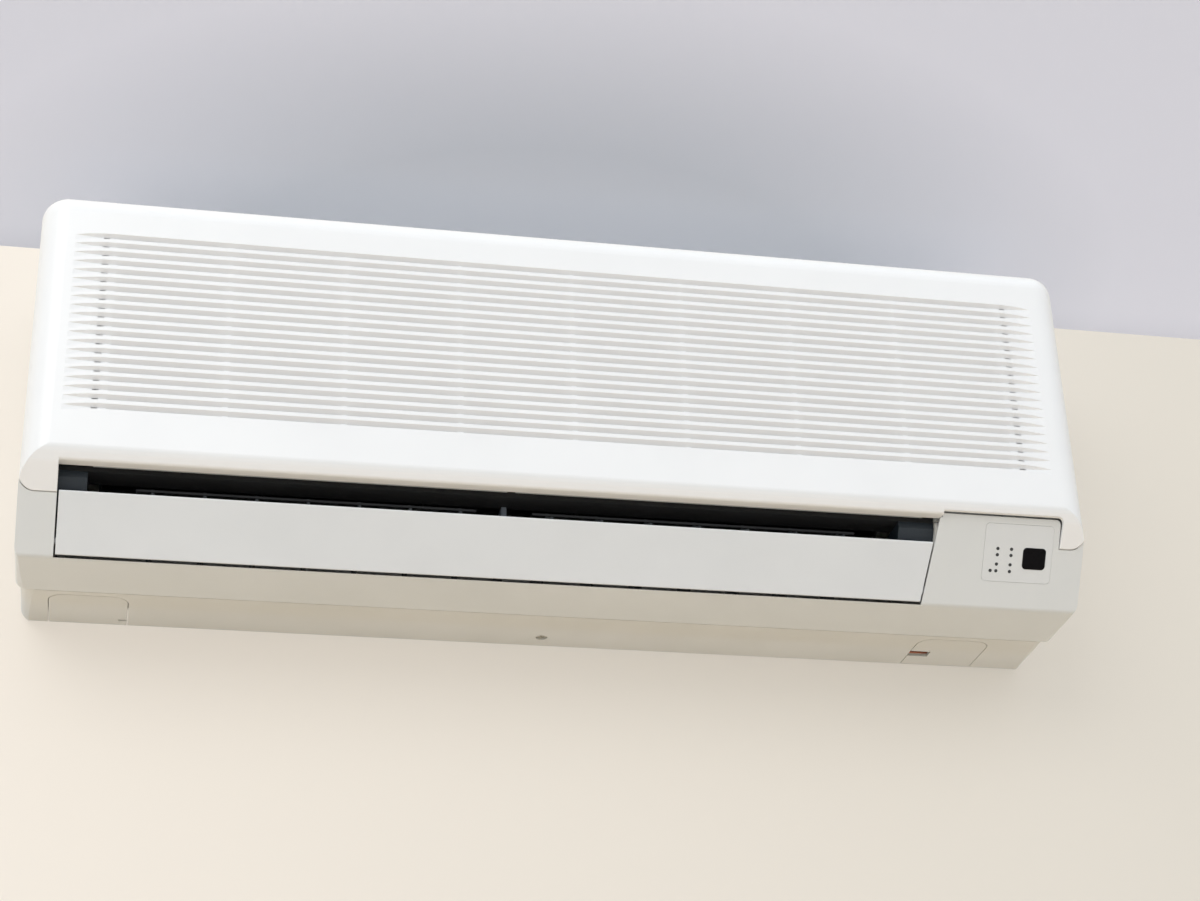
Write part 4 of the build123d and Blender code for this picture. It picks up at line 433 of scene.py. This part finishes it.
metalLooks = {
    "motor_steel": finishLook(
        (176, 178, 180), (160, 162, 166), roughness=0.34,
        lines=2200, blotches=90, cover=0.3, tarnish=shade(120, 114, 106),
    ),
    "screw_steel": finishLook(
        (222, 217, 203), (212, 206, 192), roughness=0.45,
        lines=3000, blotches=260, cover=0.35, tarnish=shade(140, 126, 104),
    ),
    "shaft_steel": finishLook(
        (200, 202, 204), (186, 188, 192), roughness=0.22,
        lines=5000, blotches=120, cover=0.3, tarnish=shade(134, 120, 104),
    ),
    "fin_aluminium": finishLook(
        (212, 215, 218), (198, 202, 206), roughness=0.32,
        lines=2600, blotches=50, cover=0.4, tarnish=shade(168, 166, 158),
    ),
    "copper": finishLook(
        (205, 128, 92), (190, 112, 78), roughness=0.28,
        lines=1800, blotches=80, cover=0.55, tarnish=shade(116, 66, 48),
    ),
    "sensor_copper": finishLook(
        (205, 134, 98), (188, 116, 84), roughness=0.3,
        lines=1800, blotches=200, cover=0.45, tarnish=shade(116, 70, 50),
    ),
    "brass_nut": finishLook(
        (206, 176, 104), (190, 158, 88), roughness=0.26,
        lines=4200, blotches=150, cover=0.4, tarnish=shade(128, 104, 62),
    ),
}

zincLook = finishLook(
    (186, 189, 192), (214, 217, 220),
    flakes=150, flakeDepth=0.03 * mm, flakeRoughness=(0.3, 0.48),
    blotches=45, oxide=0.4, oxideColour=shade(176, 176, 172), oxideShare=0.45, oxideDulls=0.2,
)


def galvanisedSheet(name, look):
    # zinc flakes, dulled in places by white oxide
    material, tree = startMaterial(name)
    flakes = placeEffect(tree, "spangle", Flakes_Per_Metre=look["flakes"])
    rust = placeEffect(tree, "patina", Blotches_Per_Metre=look["blotches"], Cover=look["oxide"])
    bright = blendColours(tree, flakes["Tone"], look["colour"], look["second"])
    oxide = compute(tree, "MULTIPLY", rust["Mask"], look["oxideShare"])
    polish = remap(tree, flakes["Tone"], 0, 1, *look["flakeRoughness"])
    dulled = compute(tree, "MULTIPLY", rust["Mask"], look["oxideDulls"])
    endMaterial(
        tree,
        Base_Color=blendColours(tree, oxide, bright, look["oxideColour"]),
        Roughness=compute(tree, "ADD", polish, dulled),
        Metallic=1.0,
        Normal=addBump(tree, flakes["Height"], look["flakeDepth"]),
    )
    return material


finishes = {name: mouldedPlastic(name, look) for name, look in plasticLooks.items()}
finishes.update({name: drawnMetal(name, look) for name, look in metalLooks.items()})
finishes["zinc_steel"] = galvanisedSheet("zinc_steel", zincLook)
darkRods = ("vane_rod_left", "vane_rod_right")  # they share the vanes' slot and are darker
for node, piece in frame["nodes"].items():
    piece.data.materials.clear()
    piece.data.materials.append(finishes["rod_dark" if node in darkRods else nodeSlots[node]])
print("finishes given to the nodes:", len(finishes))


# tools for the pieces that are modelled here, in place of coarser solids
def startFresh():
    if bpy.context.mode != "OBJECT":
        bpy.ops.object.mode_set(mode="OBJECT")
    bpy.ops.object.select_all(action="DESELECT")


def pickPieces(*pieces):
    # these alone are selected, and the first is the active one
    startFresh()
    for piece in pieces:
        piece.select_set(True)
    bpy.context.view_layer.objects.active = pieces[0]


def pickVertices(chosen):
    # picks vertices by their place in the mesh and leaves the piece in edit mode
    mesh = bpy.context.object.data
    bpy.ops.object.mode_set(mode="EDIT")
    bpy.ops.mesh.select_mode(type="VERT")
    bpy.ops.mesh.select_all(action="DESELECT")
    bpy.ops.object.mode_set(mode="OBJECT")
    for vertex in mesh.vertices:
        vertex.select = chosen(vertex.co)
    bpy.ops.object.mode_set(mode="EDIT")


def applyModifier(kind, **settings):
    modifier = bpy.context.object.modifiers.new(kind.lower(), kind)
    for name, value in settings.items():
        setattr(modifier, name, value)
    bpy.ops.object.modifier_apply(modifier=modifier.name)


def repeatAcross(axis, width, pitch):
    # copies at about this pitch, the last of them at the end of the width
    count = int(width / pitch) + 1
    step = [0, 0, 0]
    step[axis] = width / (count - 1)
    applyModifier(
        "ARRAY", count=count, use_relative_offset=False,
        use_constant_offset=True, constant_offset_displace=step,
    )


def settle(name, node):
    # the place goes into the mesh, and the piece stands for that node
    piece = bpy.context.object
    piece.name = name
    bpy.ops.object.transform_apply(location=True, rotation=True, scale=True)
    piece.data.materials.clear()
    piece.data.materials.append(finishes[nodeSlots[node]])
    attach(piece, nodeBodies[node])
    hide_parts(node)


# the coil's fins: thin sheets with shallow ripples, close together
coilFin = {
    "pitch": 1.7 * mm,
    "thickness": 0.14 * mm,
    "ripples": 6,
    "rippleDepth": 0.35 * mm,
    "lean": {"coil_fins_front": 0, "coil_fins_upper": -27, "coil_fins_rear": 27},  # degrees
}


def addFinRow(node):
    low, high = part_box(node)
    frontLow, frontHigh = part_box("coil_fins_front")
    depth = frontHigh[y] - frontLow[y]      # the front row stands upright, so its box gives the depth
    lean = math.radians(coilFin["lean"][node])
    length = (high[z] - low[z] - depth * abs(math.sin(lean))) / math.cos(lean)
    middle = [(a + b) / 2 for a, b in zip(low, high)]
    startFresh()
    bpy.ops.mesh.primitive_grid_add(x_subdivisions=coilFin["ripples"], y_subdivisions=1, size=1)
    pickVertices(lambda place: round((place.x + 0.5) * coilFin["ripples"]) % 2 == 1)  # every second line
    bpy.ops.transform.translate(value=(0, 0, coilFin["rippleDepth"]))
    bpy.ops.object.mode_set(mode="OBJECT")
    fin = bpy.context.object
    fin.scale = (depth, length, 1)
    bpy.ops.object.transform_apply(location=False, rotation=False, scale=True)
    fin.rotation_euler = (math.pi / 2, 0, math.pi / 2)
    bpy.ops.object.transform_apply(location=False, rotation=True, scale=False)
    fin.rotation_euler = (lean, 0, 0)
    fin.location = (low[x] + coilFin["thickness"], middle[y], middle[z])
    bpy.ops.object.transform_apply(location=True, rotation=True, scale=False)
    applyModifier("SOLIDIFY", thickness=coilFin["thickness"], offset=0)
    finWidth = coilFin["rippleDepth"] + coilFin["thickness"]
    repeatAcross(x, high[x] - low[x] - finWidth, coilFin["pitch"])
    settle(node.replace("coil_fins", "finRow"), node)


for node in coilFin["lean"]:
    addFinRow(node)
print("coil fins placed")

# the filters' nets: fine strands one way, crossed by strands laid over them
filterNet = {
    "strand": 0.3 * mm,
    "pitch": 2.0 * mm,
    "layerShift": 1 / 3,          # of a strand, from the net's middle to each layer's
}


def addStrands(low, high, runs, across, height):
    # one strand along the axis that it runs, repeated along the other
    strand = filterNet["strand"]
    size = [strand] * 3
    size[runs] = high[runs] - low[runs]
    place = [0, height, 0]
    place[runs] = (low[runs] + high[runs]) / 2
    place[across] = low[across] + strand / 2
    startFresh()
    bpy.ops.mesh.primitive_cube_add(size=1, location=place, scale=size)
    bpy.ops.object.transform_apply(location=True, rotation=True, scale=True)
    repeatAcross(across, high[across] - low[across] - strand, filterNet["pitch"])
    return bpy.context.object


def addNet(node):
    low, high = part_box(node)
    middle = (low[y] + high[y]) / 2
    shift = filterNet["layerShift"] * filterNet["strand"]
    upright = addStrands(low, high, z, x, middle - shift)
    level = addStrands(low, high, x, z, middle + shift)
    pickPieces(level, upright)
    bpy.ops.object.join()
    settle(node.replace("filter_net", "filterWeave"), node)


for node in ("filter_net_left", "filter_net_right"):
    addNet(node)
print("filter nets woven")

# the screw in the underside: a pan head with a cross recess, and its shank
screwLook = {
    "headFacets": 32,
    "headHeight": 0.6,            # of the head's radius, as the shank's radius
    "rim": 0.5 * mm,
    "rimSteps": 3,
    "recessDepth": 1.2 * mm,
    "armLength": 4.4 * mm,
    "armWidth": 1.0 * mm,
    "shankFacets": 16,
    "shankRadius": 0.45,
    "smoothBelow": 35,            # degrees between two faces
}


def addScrew(node):
    low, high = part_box(node)
    centre = ((low[x] + high[x]) / 2, (low[y] + high[y]) / 2)
    radius = (high[x] - low[x]) / 2
    headHeight = screwLook["headHeight"] * radius
    startFresh()
    bpy.ops.mesh.primitive_cylinder_add(
        vertices=screwLook["headFacets"], radius=radius, depth=headHeight,
        location=(*centre, low[z] + headHeight / 2),
    )
    bpy.ops.object.transform_apply(location=True, rotation=True, scale=True)
    pickVertices(lambda place: place.z < low[z] + headHeight / 2)
    bpy.ops.mesh.bevel(offset=screwLook["rim"], segments=screwLook["rimSteps"], affect="EDGES")
    bpy.ops.mesh.select_all(action="DESELECT")
    bpy.ops.object.mode_set(mode="OBJECT")
    head = bpy.context.object
    for sides in (("armLength", "armWidth"), ("armWidth", "armLength")):
        startFresh()
        reach = (*(screwLook[side] for side in sides), 2 * screwLook["recessDepth"])
        bpy.ops.mesh.primitive_cube_add(size=1, location=(*centre, low[z]), scale=reach)
        arm = bpy.context.object
        pickPieces(head)
        applyModifier("BOOLEAN", operation="DIFFERENCE", object=arm, solver="EXACT")
        bpy.data.objects.remove(arm)
    startFresh()
    bpy.ops.mesh.primitive_cylinder_add(
        vertices=screwLook["shankFacets"], radius=radius * screwLook["shankRadius"],
        depth=high[z] - low[z] - headHeight, location=(*centre, (high[z] + low[z] + headHeight) / 2),
    )
    shank = bpy.context.object
    pickPieces(head, shank)
    bpy.ops.object.join()
    bpy.ops.object.shade_smooth_by_angle(angle=math.radians(screwLook["smoothBelow"]))
    settle("crossScrew", node)


addScrew("underside_screw")
print("screw placed")


# the stage: a cream wall, a cooler ceiling and a warm floor far below, with painted light on the wall and
# a painted shadow on the ceiling
stageLook = {
    # painted light: the wall's glow is paler at the left and darker to the right, as if lit from the left
    "wall": {
        "paint": shade(243, 236, 224), "bounce": shade(243, 236, 224),
        "near": (0.93, 0.86, 0.78, 1), "far": (0.65, 0.62, 0.56, 1),
        "scale": (1, 0, 0), "shift": (3, 0, 0), "reach": (2.6, 3.55),
    },
    # painted shadow: the ceiling's glow is darker close to the unit and paler further out
    "ceiling": {
        "paint": shade(214, 211, 215), "bounce": shade(214, 211, 215),
        "near": (0.49, 0.55, 0.64, 1), "far": (0.87, 0.89, 1.0, 1),
        "scale": (1.6, 2, 0), "shift": (0, 12, 0), "reach": (0.4, 0.8),
    },
    "floor": {
        "paint": shade(232, 230, 226), "bounce": (0.50, 0.425, 0.315, 1),
        "near": shade(232, 230, 226), "far": shade(232, 230, 226),
        "scale": (1, 1, 0), "shift": (0, 0, 0), "reach": (0, 1),
    },
    "matt": {"Roughness": 0.9, "Specular_IOR_Level": 0.1},
    "mottle": (0.97, 0.97, 0.97, 1),
    "mottlesPerMetre": 3.0,
    "ownTone": 0.5,               # share of what the camera sees that is the painted glow, which no shadow darkens
    "backLightGap": 0.04,         # light that leaves the unit's back passes through a wall this near
    "wallGap": 2 * mm,
    "ceilingHeight": 0.19,
    "floorHeight": -2.6,
    "halfSize": 6.0,
    "skyUp": (1.06, 1.08, 1.12, 1),
    "skyDown": (0.50, 0.545, 0.59, 1),
    "skyLean": (-0.1, -0.5, 0.86),  # the side that the brighter light comes from
    "skyBlend": (-0.05, 0.5),
    "keyPlace": (-1.6, -3.0, 1.4),
    "keySize": (2.4, 2.0),
    "keyPower": 36,
    "keyTint": shade(255, 253, 250),
}


def mixShaders(tree, factor, first, second):
    return feedInOrder(tree, addNode(tree, "ShaderNodeMixShader"), factor, first, second).outputs[0]


def directRays(tree, rays):
    # rays that reach a thing straight from the camera, in a gloss or through glass
    direct = compute(tree, "MAXIMUM", rays["Is Camera Ray"], rays["Is Glossy Ray"])
    return compute(tree, "MAXIMUM", direct, rays["Is Transmission Ray"])


def stagePaintWithPaintedLight(name, look, cameraOnly=False):
    # matt paint in front and nothing from behind, so that views from the back see the unit; half of what
    # the camera sees is a glow that grades from a near colour to a far one, painted light and shade on
    # the backdrop
    material, tree = startMaterial(name)
    rays = addNode(tree, "ShaderNodeLightPath").outputs
    direct = directRays(tree, rays)
    grain = addNoise(tree, objectPlace(tree), stageLook["mottlesPerMetre"], Detail=2.0)
    mottle = blendColours(tree, grain, stageLook["mottle"], plainWhite)
    paint = blendColours(tree, direct, look["bounce"], look["paint"])
    mottled = blendColours(tree, 1.0, paint, mottle, "MULTIPLY")
    surface = addNode(tree, "ShaderNodeBsdfPrincipled", Base_Color=mottled, **stageLook["matt"])
    place = objectPlace(tree, look["scale"], look["shift"])
    distance = addNode(tree, "ShaderNodeVectorMath", {"operation": "LENGTH"}, Vector=place)
    # painted light and shade: the glow's colour grades with distance across the plane
    paintedLightFade = remap(tree, distance.outputs["Value"], *look["reach"])
    paintedBackdropLight = addNode(tree, "ShaderNodeEmission", Color=blendColours(tree, paintedLightFade, look["near"], look["far"]))
    ownShare = compute(tree, "MULTIPLY", direct, stageLook["ownTone"])
    seen = mixShaders(tree, ownShare, surface.outputs[0], paintedBackdropLight.outputs[0])
    behind = compute(tree, "LESS_THAN", rays["Ray Length"], stageLook["backLightGap"])
    backfacing = addNode(tree, "ShaderNodeNewGeometry").outputs["Backfacing"]
    hidden = compute(tree, "MAXIMUM", backfacing, behind)
    if cameraOnly:
        otherRays = compute(tree, "SUBTRACT", 1.0, rays["Is Camera Ray"])
        hidden = compute(tree, "MAXIMUM", hidden, otherRays)
    clear = addNode(tree, "ShaderNodeBsdfTransparent")
    addNode(tree, "ShaderNodeOutputMaterial", Surface=mixShaders(tree, hidden, seen, clear.outputs[0]))
    return material


def addStagePlane(name, location, rotation, material):
    bpy.ops.mesh.primitive_plane_add(size=2 * stageLook["halfSize"], location=location, rotation=rotation)
    plane = bpy.context.object
    plane.name = name
    plane.data.materials.append(material)


def addKeyLight():
    # a broad soft lamp that faces the middle of the mounting plate
    bpy.ops.object.light_add(type="AREA", location=stageLook["keyPlace"])
    light = bpy.context.object
    light.name = "keyLight"
    light.rotation_euler = (-Vector(stageLook["keyPlace"])).to_track_quat("-Z", "Y").to_euler()
    light.data.shape = "RECTANGLE"
    light.data.size, light.data.size_y = stageLook["keySize"]
    light.data.energy = stageLook["keyPower"]
    light.data.color = stageLook["keyTint"][:3]


def buildSky():
    # brighter from above than from below; seen directly or in a gloss it is plain white
    world = bpy.data.worlds.new("studio")
    bpy.context.scene.world = world
    world.use_nodes = True
    tree = world.node_tree
    tree.nodes.clear()
    direct = directRays(tree, addNode(tree, "ShaderNodeLightPath").outputs)
    direction = addNode(tree, "ShaderNodeTexCoord").outputs["Generated"]
    lean = addNode(tree, "ShaderNodeVectorMath", {"operation": "DOT_PRODUCT"})
    feedInOrder(tree, lean, direction, stageLook["skyLean"])
    height = remap(tree, lean.outputs["Value"], *stageLook["skyBlend"])
    sky = blendColours(tree, height, stageLook["skyDown"], stageLook["skyUp"])
    colour = blendColours(tree, direct, sky, plainWhite)
    background = addNode(tree, "ShaderNodeBackground", Color=colour, Strength=1.0)
    addNode(tree, "ShaderNodeOutputWorld", Surface=background.outputs[0])


def buildStage():
    ahead, level, down = (math.pi / 2, 0, 0), (0, 0, 0), (math.pi, 0, 0)
    wall = stagePaintWithPaintedLight("wallPaintAndPaintedLight", stageLook["wall"])
    addStagePlane("stageWall", (0, stageLook["wallGap"], 0), ahead, wall)
    floor = stagePaintWithPaintedLight("floorPaint", stageLook["floor"])
    addStagePlane("stageFloor", (0, 0, stageLook["floorHeight"]), level, floor)
    roof = stagePaintWithPaintedLight("ceilingPaintAndPaintedShadow", stageLook["ceiling"], True)
    addStagePlane("stageCeiling", (0, -stageLook["halfSize"], stageLook["ceilingHeight"]), down, roof)
    addKeyLight()
    buildSky()
    bpy.context.scene.view_settings.view_transform = "Standard"


buildStage()
print("stage and light ready")
